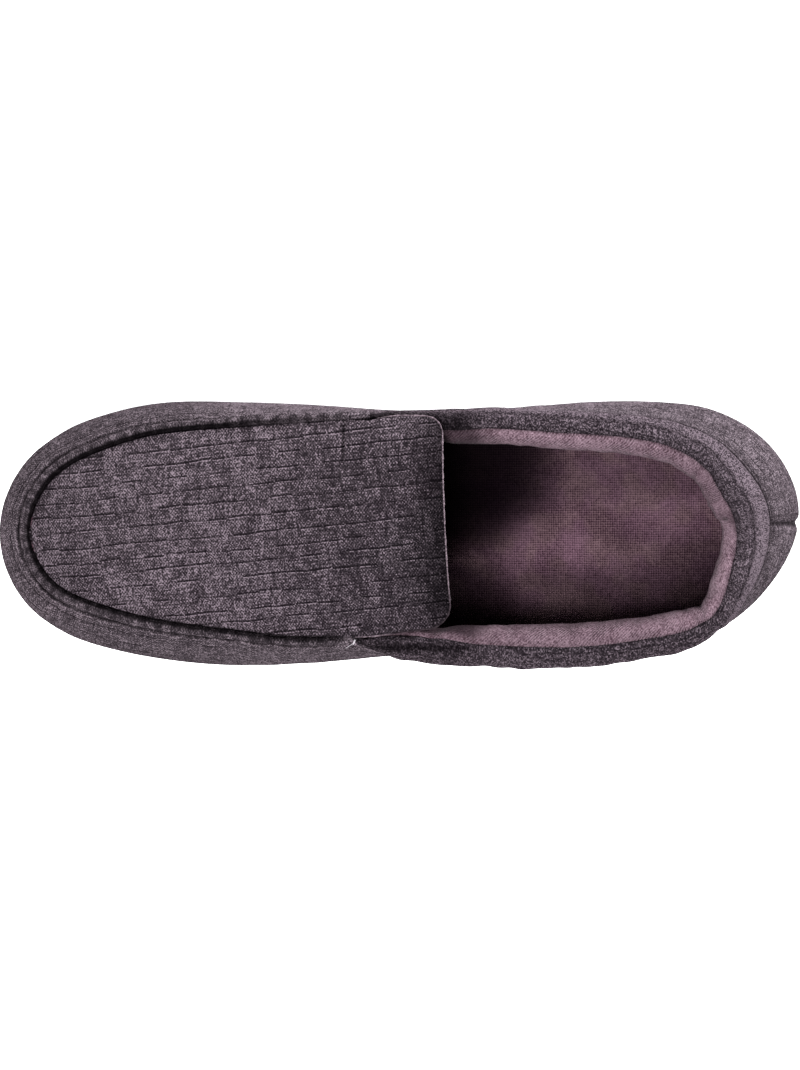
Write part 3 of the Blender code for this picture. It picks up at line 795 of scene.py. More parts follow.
def wall_sheet(distance):
    """Points on the wall's face and back, from sole to groove, and how far below its edge they are."""
    tuck, lower = np.linspace(0, 1, 11)[:-1], np.linspace(0, 1, 22)[:-1]
    fine, drops = np.linspace(1, 0, 27), np.linspace(0, 1, 6)[1:]
    length = wall_length(distance)
    sewn = SEWN_BAND / length
    shares = np.concatenate([lower * (1 - sewn), 1 - fine * sewn], axis=1)
    from_edge = (1 - shares) * length
    point, out = upper_curve(distance, shares)
    seam = BACK_SEAM_DEPTH * bell(from_back_seam(distance), BACK_SEAM_WIDTH)
    surface = point + (wall_relief(distance, from_edge) - seam) * out
    tucked = tuck_curve(distance, tuck, 0.0) - np.stack([seam * tuck, 0 * seam * tuck])
    top, rising, edge_out = top_edge(distance)
    drop = top - EDGE_DROP * drops * edge_out
    rolled = drop - EDGE_TURN * np.sin(np.pi * drops / 2) * rising
    face = np.concatenate([tucked, surface, rolled], axis=2)
    inner = drop - (EDGE_TURN + EDGE_THICKNESS) * rising
    back = np.concatenate([tuck_curve(distance, tuck, FACE), point - FACE * out, inner], axis=2)
    below = [length + TUCK_LENGTH * (1 - tuck), from_edge, 0 * length - EDGE_DROP * drops]
    return outline.placed(distance, *face), outline.placed(distance, *back), np.concatenate(below, axis=1)


def groove_strength(x, outer, inner):
    """How much of the groove's painted shade is left along the shoe, on its outer and its inner side."""
    return (1 - 0.6 * inner * ramp(x, *GROOVE_FADES)) * (1 - 0.9 * outer * ramp(x, *GROOVE_ENDS))


def wall_shade(distance, x, below):
    """Painted shade on the wall: in the groove, the stitched crease, the back seam and under the roll."""
    bead, along = outline.value("bead", distance), outline.value("along", distance)
    outer, inner = outer_and_inner(distance)
    under = np.clip(below, 0, None)
    ragged = 1 + 0.26 * np.sin(distance / 1.7) * np.sin(distance / 4.3 + 1)
    ragged = ragged + 0.12 * np.sin(2 * np.pi * distance / BEAD_RIB)
    # Painted shade in the groove beside the plug
    groove = GROOVE_SHADE * (bell(under, GROOVE_CORE) + np.exp(-under / (GROOVE_SOFT * ragged)))
    groove = bead * groove * groove_strength(x, outer, inner) * (1 - 0.2 * outer)
    # Painted shade in the stitched crease and the sunken back seam
    uneven = 0.80 + 0.14 * np.sin(distance / 5.3) + 0.06 * np.sin(distance / 1.9 + 2)
    uneven = uneven * (1 - 0.7 * inner * ramp(x, *STITCH_LINE_FADES))
    stitched = bead * uneven * bell(below - crease_middle(distance), STITCH_LINE_WIDTH)
    back_line = BACK_LINE * bell(from_back_seam(distance), BACK_LINE_WIDTH)
    # Painted shadow of the collar's roll on the wall below it, deepest at the heel
    reach = np.interp(along, *zip(*ROLL_SHADOW))
    under_roll = UNDER_ROLL * ramp(along, *UNDER_ROLL_STARTS) * past(reach - below, UNDER_ROLL_SOFT)
    at_heel = AT_HEEL * ramp(along, *AT_HEEL_STARTS) * bell(under, AT_HEEL_REACH)
    by_roll = (1 - bead) * np.maximum(under_roll, at_heel)
    return np.clip(np.max(np.broadcast_arrays(groove, stitched, back_line, by_roll), axis=0), 0, 1)


def wall_tone(distance, x, y, below):
    """How much lighter the wall is at the ribs, the collar's front, low down, in its middle and at the toe,
    with a painted highlight on the crease's lips and painted light on its inner side, or darker below 0, as
    in the painted shade of its outer side.
    """
    outer, inner = outer_and_inner(distance)
    ribs = RIB_TONE * np.cos(2 * np.pi * distance / BEAD_RIB) * (below < bead_width(distance))
    # Painted highlight on the low ridges either side of the stitched crease
    lip_highlight = LIP_HIGHLIGHT * bell(np.abs(below - crease_middle(distance)) - LIP_AWAY, LIP_WIDTH)
    seam = outline.value("bead", distance) * (ribs + lip_highlight)
    past_front = FRONT_SLOPE * (COLLAR_FRONT - x) - below
    front = FRONT_TONE * past(past_front, FRONT_SOFT) + FOLD_TONE * bell(past_front + FOLD_AHEAD, FOLD_WIDTH)
    front += WASH_TONE * np.exp(past_front / WASH_REACH) * (past_front < 0)
    front *= ramp(x, *FRONT_STARTS) * ramp(below, *FRONT_DEPTH) * (y > 0)
    middle = ramp(x, *MIDDLE_STARTS) * ramp(x, *MIDDLE_ENDS)
    low = ramp(below, *LOW_STARTS) * (LIGHTER_LOW + LIGHTER_MIDDLE * middle + LIGHTER_TOE * ramp(x, *TOE_STARTS))
    # Painted light on the inner side, and painted shade on the outer side, less at its heel
    inner_side = INNER_LIGHT * inner * ramp(x, *INNER_STARTS) * ramp(x, *INNER_ENDS)
    outer_side = outer * (OUTER_SHADE + OUTER_HEEL_TONE * ramp(x, *OUTER_HEEL_STARTS))
    return seam + front + low + inner_side + outer_side


def wall_face():
    distance = sections[:, None]
    grid, back, below = wall_sheet(distance)
    x, y, _ = np.moveaxis(grid, -1, 0)
    return cloth(
        "wall_face",
        heather("wall_knit", (0.139, 0.112, 0.130, 1), lines=0.65, clumps=0.4, salt=0.62),
        grid,
        back,
        wrap=True,
        weave_along=distance,
        weave_across=below,
        shade=wall_shade(distance, x, below),
        tone=wall_tone(distance, x, y, below),
    )


wall = wall_face()
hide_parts("upper")
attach(wall, "root")


# Lining of the wall
# Mauve velour bonded to the inside of the foam, seen down the opening below the collar. It runs from under
# the collar and the plug to the edge of the insole.

RIB_PITCH, VELOUR_STITCH = 1.25, 0.5
LINING_BELOW_EDGE, LINING_BELOW_SEAM = 0.5, 5.0
LINING_GAP = 0.1  # clearance between the foam and the lining
LINING_DARK, LINING_LIGHT = (0.022, 0.010, 0.015, 1), (0.100, 0.056, 0.074, 1)


def velour(name, dark, light, ribs):
    """Short-pile velour with fine slanting ribs, brushed away here and there."""
    sheen = {"Sheen Weight": 0.02, "Sheen Roughness": 0.4}
    place, link = start_material(name, {"Roughness": 1.0, "Specular IOR Level": 0.0, **sheen})
    along, across = attribute(place, "weave_along"), attribute(place, "weave_across")
    drift = place.noise(7) - 0.5
    brushed = place.noise(5, detail=2).step(0.30, 0.65)
    rib = ((along + across) / RIB_PITCH + 1.5 * drift).wave() * (0.25 + 0.75 * brushed)
    salt = stitches(along, across, VELOUR_STITCH, VELOUR_STITCH, slip=0.37) - 0.5
    fuzz = place.noise(0.55, detail=2, rough=0.7) - 0.5
    nap = place.noise(6, detail=3) - 0.5
    tone = 0.5 + ribs * 0.23 * rib + 0.7 * salt + 1.3 * fuzz + 0.8 * nap
    black = (0.004, 0.002, 0.003, 1)
    height = 0.5 + ribs * 0.35 * rib + 0.7 * fuzz
    return link(
        Base_Color=attribute(place, "shade").colour(tone.colour(dark, light), black),
        Normal=height.bump(0.45),
    )


def wall_lining():
    tuck = np.linspace(0, 1, 8)[:-1]
    distance = sections[::2, None]
    length = wall_length(distance)
    stop = LINING_BELOW_EDGE + LINING_BELOW_SEAM * outline.value("bead", distance)
    shares = np.linspace(0, 1, 20) * (1 - stop / length)
    point, out = upper_curve(distance, shares)
    layers = []
    for depth in (FACE + LINING_GAP, WALL):
        flat = np.concatenate([tuck_curve(distance, tuck, depth), point - depth * out], axis=2)
        layers.append(outline.placed(distance, *flat))
    below = np.concatenate([1 - tuck + 0 * distance, 1 - shares], axis=1) * length
    material = velour("wall_velour", LINING_DARK, LINING_LIGHT, ribs=1.0)
    values = {"weave_along": distance, "weave_across": below, "shade": 0.0}
    return cloth("wall_lining", material, *layers, wrap=True, **values)


lining = wall_lining()
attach(lining, "root")


# Plug and tongue flap
# The apron over the toes and instep, cut in one with the flap behind it: heather knit on foam, sewn edge to
# edge with the wall's rolled edge. The flap's free edge is turned down over its lining, which shows as a
# thin pale line, and is held at the outer side by a bar tack.

PLUG_RECESS, PLUG_THICKNESS, PLUG_FACE = 1.5, 2.6, 1.4
PLUG_LINING_GAP = 0.05
CROWN_POWER = 2.3
FLAP_REAR, FLAP_SLANT = -19.5, 1.6
FLAP_CORNER, FLAP_INNER_CORNER = 8.0, 5.5  # radius of the rear corners on the outer and the inner side
EDGE_ROLL, EDGE_ROLL_DEPTH = 0.45, 1.6  # the knit curls down into the groove
FLAP_TURN, FLAP_TURN_DEPTH, FLAP_TURN_POWER = 9.0, 2.4, 2.4  # the rear edge bends down
FLAP_ROWS, CORNER_ROWS, PLUG_COLUMNS = 34, 14, 111
CROWDED = 0.55  # how much closer together the columns lie by the edges
# Painted shade in the groove by the seam and along the turned-down rear edge
GROOVE_LINE, GROOVE_LINE_WIDTH, GROOVE_HALO, GROOVE_HALO_REACH = 0.7, 0.32, 0.3, 0.9  # dark by the seam
REAR_EDGE_SHADE, REAR_EDGE_SHADE_REACH = 0.77, 10.0  # and along the rear edge
LIGHTER_INNER_EDGE, LIGHTER_INNER_REACH, LIGHTER_INNER_STARTS = 0.26, 8.0, (30, 0)  # lighter along the inner side
# Painted shade: the plug darker towards its rear
REAR_SHADE, REAR_STARTS = -0.23, (62, -8)
CREASES_CLEAR = 10.0  # how far from the seam the creases are at full depth
LINE_TILT = math.radians(6)  # how far the knitted lines run off the shoe's length

# Height of the plug's middle over its edges, at distances along the shoe
CROWN = np.array(
    [
        (-20.5, 14.0),
        (10.0, 13.4),
        (30.0, 11.5),
        (60.0, 9.2),
        (85.0, 7.6),
        (110.0, 5.4),
        (125.0, 3.0),
        (134.0, 0.0),
    ]
)

# Edges of the flap behind the raised seam: along, how far across on each side, and the height there
FLAP = np.array(
    [
        (-22.0, 30.2, 57.4, -43.5, 61.2),
        (-12.5, 31.4, 57.4, -43.9, 60.4),
        (-6.0, 32.2, 57.4, -44.1, 59.7),
        (1.0, 33.2, 57.6, -43.5, 59.0),
        (8.0, 34.2, 57.9, -42.5, 58.4),
    ]
)

# Soft creases: along, across, slant, half length, half width and depth
PLUG_CREASES = (
    (58.0, 6.0, 84, 24.0, 4.5, 0.45),
    (44.0, -8.0, 98, 22.0, 4.0, 0.40),
    (74.0, -4.0, 92, 20.0, 5.0, 0.30),
    (16.0, 12.0, 70, 14.0, 4.0, 0.35),
    (4.0, -16.0, 104, 14.0, 4.5, 0.35),
)


def through(table, column, along):
    """One column of a short table as a smooth curve that doesn't overshoot."""
    knots, values = table[:, 0], table[:, column]
    slopes = np.diff(values) / np.diff(knots)
    tangents = np.concatenate([slopes[:1], level_tangents(slopes[:-1], slopes[1:]), slopes[-1:]])
    return on_curve(knots, values, tangents, along)


def seam_points(numbers):
    """Edge of the plug at the raised seam."""
    distance = sections[numbers]
    top, rising, edge_out = top_edge(distance)
    offset, height = top + GAP * rising - PLUG_RECESS * edge_out
    return outline.placed(distance, offset, height)


def from_line(points, line):
    """Distance in plan from each point to a line of points."""
    tree = kdtree.KDTree(len(line))
    for i, point in enumerate(line):
        tree.insert((point[0], point[1], 0), i)
    tree.balance()
    flat = points.reshape(-1, 3)
    found = [tree.find((x, y, 0))[2] for x, y, _ in flat]
    return np.array(found).reshape(points.shape[:-1])


def corner_cut(along, radius):
    """How far a round rear corner takes the flap's edge in."""
    turn = ramp(along, FLAP_REAR + radius, FLAP_REAR)
    return radius * (1 - np.sqrt(1 - turn**2))


def plug_grid():
    """Rows across the plug's top surface from toe to rear edge, each from the inner to the outer side."""
    seam = np.arange(TOE - 1, THROAT - 1, -1)
    lateral, medial = seam_points(seam), seam_points(len(sections) - seam)
    start = (lateral[-1, 0] + medial[-1, 0]) / 2
    turn = np.linspace(0, np.pi / 2, CORNER_ROWS + 1)[1:]
    straight = np.linspace(start, FLAP_REAR + FLAP_CORNER, FLAP_ROWS)[1:]
    along = np.concatenate([straight, FLAP_REAR + FLAP_CORNER * (1 - np.sin(turn))])
    edges, cuts = [], []
    outer_side = lateral, (0, 1, 2), -FLAP_SLANT, FLAP_CORNER
    inner_side = medial, (0, 3, 4), FLAP_SLANT, FLAP_INNER_CORNER
    for sewn, columns, slant, radius in (outer_side, inner_side):
        table = np.vstack([FLAP[:, columns], [start, *sewn[-1, 1:]]])
        free = [along + slant, through(table, 1, along), through(table, 2, along)]
        edges.append(np.concatenate([sewn, np.stack(free, axis=-1)]))
        cuts.append(np.concatenate([0 * seam, corner_cut(along, radius)]))
    outer, inner = edges
    outer_cut, inner_cut = (np.array(cuts) / np.linalg.norm(outer - inner, axis=1))[..., None]
    even = np.linspace(0, 1, PLUG_COLUMNS)
    spread = (1 - CROWDED) * even + CROWDED * (1 - np.cos(np.pi * even)) / 2
    share = inner_cut + (1 - inner_cut - outer_cut) * spread
    grid = inner[:, None] + (outer - inner)[:, None] * share[..., None]
    rise = through(CROWN, 1, np.clip(grid[..., 0], CROWN[0, 0], CROWN[-1, 0]))
    grid[..., 2] += rise * (1 - np.abs(2 * share - 1) ** CROWN_POWER)
    return grid, len(seam)


plug_top, plug_seam_rows = plug_grid()
seam_sides = plug_top[: plug_seam_rows + 1, [0, -1]].reshape(-1, 3)
seam_line = np.concatenate([seam_sides, seam_points(np.array([TOE]))])
rear_line = plug_top[-1]


def facing(grid):
    """Unit normals of a grid of points."""
    normal = np.cross(np.gradient(grid, axis=1), np.gradient(grid, axis=0))
    return normal / np.maximum(np.linalg.norm(normal, axis=-1, keepdims=True), 1e-9)


def eased(share):
    """A share from 0 to 1 that starts and ends gently."""
    return share**2 * (3 - 2 * share)


def plug_face():
    grid = plug_top.copy()
    edge, rear = from_line(grid, seam_line), from_line(grid, rear_line)
    inner_edge = np.minimum(edge, from_line(grid, plug_top[plug_seam_rows:, 0]))
    grid[..., 2] -= EDGE_ROLL_DEPTH * (1 - np.sqrt(1 - ramp(edge, EDGE_ROLL, 0) ** 2))
    grid[..., 2] += creased(grid[..., 0], grid[..., 1], PLUG_CREASES) * ramp(edge, 0, CREASES_CLEAR)
    grid[..., 2] -= FLAP_TURN_DEPTH * ramp(rear, FLAP_TURN, 0) ** FLAP_TURN_POWER
    x, y = grid[..., 0], grid[..., 1]
    out = facing(grid)
    out[-CORNER_ROWS:] = out[-CORNER_ROWS]
    # Painted shade in the groove by the seam, and along the rear edge below
    groove = GROOVE_LINE * bell(edge, GROOVE_LINE_WIDTH) + GROOVE_HALO * np.exp(-edge / GROOVE_HALO_REACH)
    groove = groove * groove_strength(x, y > 0, y < 0)
    lighter_inner_edge = LIGHTER_INNER_EDGE * (y < 0) * ramp(x, *LIGHTER_INNER_STARTS) * bell(inner_edge, LIGHTER_INNER_REACH)
    face = cloth(
        "plug_face",
        heather("plug_knit", (0.135, 0.107, 0.127, 1), lines=1.0, clumps=0.10, salt=0.84),
        grid,
        grid - PLUG_FACE * out,
        weave_along=-x * math.cos(LINE_TILT) - y * math.sin(LINE_TILT),
        weave_across=x * math.sin(LINE_TILT) - y * math.cos(LINE_TILT),
        shade=np.clip(groove + REAR_EDGE_SHADE * bell(rear, REAR_EDGE_SHADE_REACH), 0, 1),
        tone=lighter_inner_edge + REAR_SHADE * eased(ramp(x, *REAR_STARTS)),
    )
    return face, grid, out


plug, plug_surface, plug_out = plug_face()
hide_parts("plug")
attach(plug, "root")


def plug_lining():
    rows = slice(4, None, 2)
    face, out = plug_surface[rows, ::2], plug_out[rows, ::2]
    material = velour("plug_velour", LINING_DARK, LINING_LIGHT, ribs=1.0)
    layers = [face - depth * out for depth in (PLUG_FACE + PLUG_LINING_GAP, PLUG_THICKNESS)]
    values = {"weave_along": face[..., 0], "weave_across": face[..., 1], "shade": 0.0}
    return cloth("plug_lining", material, *layers, **values)


under = plug_lining()
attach(under, "root")


def tube(name, material, line, radius, sides=10, **values):
    """A round strand along a line of points, with closed ends."""
    shape = Shape()
    ahead = np.gradient(line, axis=0)
    ahead /= np.linalg.norm(ahead, axis=1, keepdims=True)
    side = np.cross(ahead, (0, 0, 1))
    side /= np.linalg.norm(side, axis=1, keepdims=True)
    up = np.cross(side, ahead)
    angle = np.linspace(0, 2 * np.pi, sides + 1)[:-1]
    radius = np.broadcast_to(radius, len(line))[:, None, None]
    ring = np.cos(angle)[:, None] * side[:, None] + np.sin(angle)[:, None] * up[:, None]
    number = shape.add(line[:, None] + radius * ring, **values)
    shape.quads(number, wrap_columns=True)
    for end in (0, -1):
        tip = shape.add(line[[end]], **{key: 0.0 for key in values})[0]
        row = np.append(number[end], number[end][0])
        shape.fan(tip, row[:: 1 if end == -1 else -1])
    return shape.made(name, material)


FLAP_EDGE_RADIUS, FLAP_EDGE_DOWN, FLAP_EDGE_OUT = 0.32, 0.7, 0.2
FLAP_EDGE_START, FLAP_EDGE_STEP, FLAP_EDGE_TAPER = 6.0, 0.4, 12
FLAP_EDGE_DARK, OUTER_STARTS, OUTER_ENDS = 0.8, (14, 24), (4, 0)  # darker at the outer corner


def evenly(line, spacing):
    """The same line with points at an even spacing."""
    steps = np.linalg.norm(np.diff(line, axis=0), axis=1)
    line = line[np.concatenate([[True], steps > 1e-6])]
    at = np.concatenate([[0], np.cumsum(np.linalg.norm(np.diff(line, axis=0), axis=1))])
    wanted = np.linspace(0, at[-1], int(at[-1] / spacing) + 1)
    return np.stack([np.interp(wanted, at, values) for values in line.T], axis=1)


def flap_edge():
    free = plug_surface[plug_seam_rows:]
    inner = free[free[:, 0, 0] < FLAP_EDGE_START, 0]
    border = evenly(np.concatenate([inner, free[-1, 1:-1], free[::-1, -1]]), FLAP_EDGE_STEP)
    ahead = np.gradient(border, axis=0)
    away = np.stack([-ahead[:, 1], ahead[:, 0], 0 * ahead[:, 0]], axis=1)
    away /= np.linalg.norm(away, axis=1, keepdims=True)
    away *= np.sign(np.sum(away * (border - border.mean(axis=0)), axis=1))[:, None]
    border = border + FLAP_EDGE_OUT * away - (0, 0, FLAP_EDGE_DOWN)
    at = np.arange(len(border))
    nubs = 0.20 * np.sin(at / 1.3) + 0.16 * np.sin(at / 2.9 + 1) + 0.14 * np.sin(at / 7.1 + 2)
    tapered = np.clip(np.minimum(at, len(at) - at) / FLAP_EDGE_TAPER, 0.2, 1)
    shade = FLAP_EDGE_DARK * ramp(border[:, 1], *OUTER_STARTS) * ramp(border[:, 0], *OUTER_ENDS)
    material = velour("flap_edge_velour", (0.040, 0.030, 0.036, 1), (0.145, 0.112, 0.130, 1), ribs=0.4)
    values = {"weave_along": FLAP_EDGE_STEP * at[:, None], "weave_across": 0.0, "shade": shade[:, None]}
    return tube("flap_edge", material, border, FLAP_EDGE_RADIUS * tapered * (1 + nubs), **values)


edging = flap_edge()
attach(edging, "root")


# Cuff
# The padded collar: a strip of foam on the wall's top edge, wrapped in the knit outside and over the top and
# in the mauve velour inside. The two cloths meet in a sunken seam along the top, and the seams pull soft
# puckers into the roll.

CUFF_PROUD = 0.13  # share of the padding that stands outside the wall
CUFF_BASE_POWER, CUFF_TOP_POWER = 4.0, 2.3
CUFF_SKIN, CUFF_STEPS = 1.1, 44
FACE_FROM, LINING_TO = math.radians(-80), math.radians(262)  # how far round the roll the two cloths go
CUFF_SEAM_WIDTH, CUFF_SEAM_DEPTH = 1.1, 0.8
HEM_LINE, HEM_DEPTH = 0.8, 0.5  # sunken line that sews the wall's cloth to the collar's
PUCKER_REACH, PUCKER_RIDGE, PUCKERED_PAD = 13.0, 0.35, 12.0  # full from this thickness of padding
HEEL_LINING, HEEL_LINING_STARTS = 1.3, (-95, -125)  # the velour bulges in further at the heel
LINING_EASE = 5.0  # how far from the seam on top it has its own form
INNER_CORNER, CORNER_REACH, CORNER_DEPTH = 53.5, 7.0, 3.6  # where the opening turns sharply at the heel

# Painted shade along the seam on top, the hem's and the one to the wall: how dark, where, and how wide or
# soft
TOP_SEAM_SHADE, TOP_SEAM_WIDTH = 0.35, 0.9
HEM_SEAM_SHADE, HEM_SEAM_IN, HEM_SEAM_WIDTH = 0.5, 0.4, 0.6
WALL_SEAM_SHADE, WALL_SEAM_TO, WALL_SEAM_SOFT = 0.60, math.radians(-28), 0.12

# Painted shadow of the flap beside it: where it comes in along the shoe, how much further back on the
# velour, how dark it is on the inner side and in the fold there, and on the outer side, along the flap's
# line and inside that
BY_FLAP_STARTS, BY_FLAP_VELOUR = (-35.5, -24.5), 4.0
BY_INNER_FLAP, INNER_FOLD, INNER_FOLD_STARTS = 0.34, 0.46, (-8, -4)
BY_OUTER_FLAP, FLAP_LINE, FLAP_LINE_ACROSS, FLAP_LINE_WIDTH = 0.22, 0.62, 38.4, 1.6
INSIDE_FLAP, INSIDE_FLAP_STARTS, DARKEST = 0.62, (0, 3.5), 0.9

# How much lighter the hem is, the painted highlights along the rims, and the painted shade of the outer side
HEM_TONE, HEM_SOFT = 0.26, 0.25
OUTER_RIM_HIGHLIGHT, OUTER_RIM_FADE, OUTER_RIM_FADES = 0.34, 0.6, (-10, 2)
INNER_RIM_HIGHLIGHT, INNER_RIM_STARTS = 0.18, (-60, -45)
CUFF_OUTER_SHADE, CUFF_OUTER_STARTS = -0.10, (-124, -112)

# By station: where the knit ends on top, as a share of the roll's width from its outer side, how wide the
# lighter hem is that the wall's cloth makes along the outer side, and how dark the painted shade on the
# velour lies
CUFF_COLUMNS = ("knit", "hem", "dark")
CUFF_STATIONS = {
    "cuff tip medial": (1.0, 0.0, 0.1),
    "cuff front medial": (0.70, 0.5, 0.1),
    "waist medial": (0.57, 0.9, 0.1),
    "quarter medial": (0.50, 0.9, 0.1),
    "counter medial": (0.47, 0.9, 0.15),
    "heel side medial": (0.50, 1.0, 0.30),
    "heel turn medial": (0.54, 1.3, 0.25),
    "heel back": (0.53, 1.4, 0.08),
    "heel turn lateral": (0.58, 1.0, 0.0),
    "heel side lateral": (0.38, 0.5, 0.0),
    "counter lateral": (0.54, 0.0, 0.22),
    "quarter lateral": (0.55, 0.0, 0.30),
    "waist lateral": (0.62, 0.0, 0.34),
    "cuff front lateral": (0.95, 0.0, 0.3),
    "cuff tip lateral": (1.0, 0.0, 0.3),
}

# Bulges of the roll's outer side: distance along the shoe, side, half width and how far out
CUFF_BULGES = (
    (-20.0, "lateral", 7.0, 0.35),
    (-33.0, "lateral", 3.0, -0.4),
    (-47.0, "lateral", 8.0, 0.35),
    (-59.0, "lateral", 3.0, -0.35),
    (-91.0, "lateral", 7.0, -0.5),
    (-104.0, "lateral", 7.0, 0.6),
    (-60.0, "medial", 7.0, 0.3),
    (-78.0, "medial", 3.0, -0.3),
)

# Puckers: distance along the shoe, side, half width in millimetres and depth
CUFF_PUCKERS = (
    (-14.0, "lateral", 2.4, 0.6),
    (-27.0, "lateral", 3.0, 0.4),
    (-41.0, "lateral", 2.2, 0.6),
    (-58.0, "lateral", 3.2, 0.5),
    (-70.0, "lateral", 2.2, 0.4),
    (-84.0, "lateral", 2.6, 0.6),
    (-99.0, "lateral", 2.4, 0.5),
    (-112.0, "lateral", 2.2, 0.9),
    (-124.0, "lateral", 2.6, 0.7),
    (-136.0, "lateral", 2.6, 0.5),
    (-20.0, "medial", 2.6, 0.5),
    (-36.0, "medial", 3.0, 0.4),
    (-52.0, "medial", 2.4, 0.5),
    (-69.0, "medial", 3.0, 0.4),
    (-83.0, "medial", 2.4, 0.5),
    (-98.0, "medial", 2.6, 0.6),
    (-111.0, "medial", 2.4, 0.6),
    (-122.0, "medial", 2.6, 0.5),
    (-133.0, "medial", 2.6, 0.6),
)

cuff_numbers = np.arange(-CUFF_TIP, CUFF_TIP + 1)
cuff_distance = (sections[cuff_numbers] - outline.length * (cuff_numbers < 0))[:, None]


def along_cuff(column):
    """One column of the cuff's table, at each of its sections."""
    knots = np.array([outline.station(name) for name in CUFF_STATIONS])
    knots = np.where(knots > outline.length / 2, knots - outline.length, knots)
    values = [row[CUFF_COLUMNS.index(column)] for row in CUFF_STATIONS.values()]
    return np.interp(cuff_distance, knots, values)


def cuff_place(along, side):
    """Distance from the heel of a place along one side, less than nothing on the inner side."""
    at = distance_at(along, side)
    return at - outline.length if at > outline.length / 2 else at


def knit_end():
    """Angle round the roll at which the knit meets the velour."""
    across = 1 - 2 * along_cuff("knit")
    return np.arccos(np.sign(across) * np.abs(across) ** (CUFF_TOP_POWER / 2))


def roll(angle):
    """Points round the padded roll with its puckers and sunken seams.

    Also gives their arc from the seam on top and how far in from the outer side they are."""
    height, pad = outline.value("cuff", cuff_distance), outline.value("pad", cuff_distance)
    top, rising, edge_out = top_edge(cuff_distance)
    across, up = np.cos(angle), np.sin(angle)
    power = np.where(up > 0, 2 / CUFF_TOP_POWER, 2 / CUFF_BASE_POWER)
    across = np.sign(across) * np.abs(across) ** power
    up = np.sign(up) * np.abs(up) ** power
    arc = (angle - knit_end()) * pad / 2
    inward = np.where(angle > 0, pad / 2 * (1 - across), 0)
    hem = along_cuff("hem")
    pull = CUFF_SEAM_DEPTH * bell(arc, CUFF_SEAM_WIDTH)
    pull += HEM_DEPTH * np.clip(hem, 0, 1) * bell(inward - hem, HEM_LINE)
    for along, side, width, depth in CUFF_PUCKERS:
        lean = 0.5 * math.sin(along)
        away = (cuff_distance - cuff_place(along, side) - lean * arc) / width
        pull += depth * bell(arc, PUCKER_REACH) * trough(away, PUCKER_RIDGE)
    shrink = 1 - ramp(pad, 0, PUCKERED_PAD) * pull / np.maximum(pad / 2, 2)
    at_heel = HEEL_LINING * ramp(outline.value("along", cuff_distance), *HEEL_LINING_STARTS)
    corner = CORNER_DEPTH * np.exp(-np.abs(cuff_distance - INNER_CORNER) / CORNER_REACH)
    own_form = eased(ramp(arc, 0, LINING_EASE))
    out = CUFF_PROUD * pad - pad / 2 * (1 - across * shrink) - (at_heel - corner) * own_form
    for along, side, width, bulge in CUFF_BULGES:
        out = out + bulge * bell(cuff_distance - cuff_place(along, side), width) * np.clip(across, 0, 1)
    flat = top + out * edge_out + (GAP + height / 2 * (1 + up * shrink)) * rising
    return outline.placed(cuff_distance, *flat), arc, inward


def cuff_shade(angle, arc, inward, y, lining):
    """Painted shade on the roll: along its seams, the flap's shadow beside it, and on the velour by station.
    """
    hem, x = along_cuff("hem"), outline.value("along", cuff_distance)
    # Painted shade along the sunken seams
    seam = TOP_SEAM_SHADE * bell(arc, TOP_SEAM_WIDTH)
    hem_seam = HEM_SEAM_SHADE * np.clip(hem, 0, 1) * bell(inward - hem - HEM_SEAM_IN, HEM_SEAM_WIDTH)
    wall_seam = WALL_SEAM_SHADE * ramp(hem, 0, 0.5) * past(WALL_SEAM_TO - angle, WALL_SEAM_SOFT)
    # Painted shadow of the flap on the collar beside it
    by_inner = BY_INNER_FLAP + INNER_FOLD * ramp(arc, *INNER_FOLD_STARTS)
    by_outer = BY_OUTER_FLAP + FLAP_LINE * bell(y - FLAP_LINE_ACROSS, FLAP_LINE_WIDTH)
    by_outer = np.minimum(by_outer + INSIDE_FLAP * ramp(arc, *INSIDE_FLAP_STARTS), DARKEST)
    by_flap = np.where(y < 0, by_inner, by_outer) * ramp(x + BY_FLAP_VELOUR * lining, *BY_FLAP_STARTS)
    # The velour's painted shade by station joins the painted shade of the seams and the flap
    darks = (seam, hem_seam, wall_seam, by_flap, lining * along_cuff("dark"))
    return np.max(np.broadcast_arrays(*darks), axis=0)


def cuff_tone(inward, y):
    """How much lighter the roll is in the hem and with painted highlights along its rims, or darker below 0
    with painted shade on its outer side.
    """
    hem, x = along_cuff("hem"), outline.value("along", cuff_distance)
    outer, _ = outer_and_inner(cuff_distance)
    in_hem = HEM_TONE * np.clip(hem, 0, 1) * past(hem - inward, HEM_SOFT)
    # Painted highlights along the rims, and painted shade on the outer side
    outer_rim_highlight = OUTER_RIM_HIGHLIGHT * outer * (1 - OUTER_RIM_FADE * ramp(x, *OUTER_RIM_FADES))
    inner_rim_highlight = INNER_RIM_HIGHLIGHT * ramp(x, *INNER_RIM_STARTS) * (y < 0)
    outer_side = CUFF_OUTER_SHADE * outer * ramp(x, *CUFF_OUTER_STARTS)
    return in_hem + (outer_rim_highlight + inner_rim_highlight) * np.exp(-inward) + outer_side


def cuff_part(name, material, first, last, lining=0.0):
    """One cloth of the cuff, between two angles round the roll; lining is 1 for the velour."""
    angle = first + (last - first) * np.linspace(0, 1, CUFF_STEPS)
    grid, arc, inward = roll(angle)
    skin = CUFF_SKIN * np.clip(outline.value("pad", cuff_distance) / 8, 0.2, 1)
    return cloth(
        name,
        material,
        grid,
        grid - skin[..., None] * facing(grid),
        weave_along=cuff_distance,
        weave_across=arc,
        shade=cuff_shade(angle, arc, inward, grid[..., 1], lining),
        tone=cuff_tone(inward, grid[..., 1]),
    )


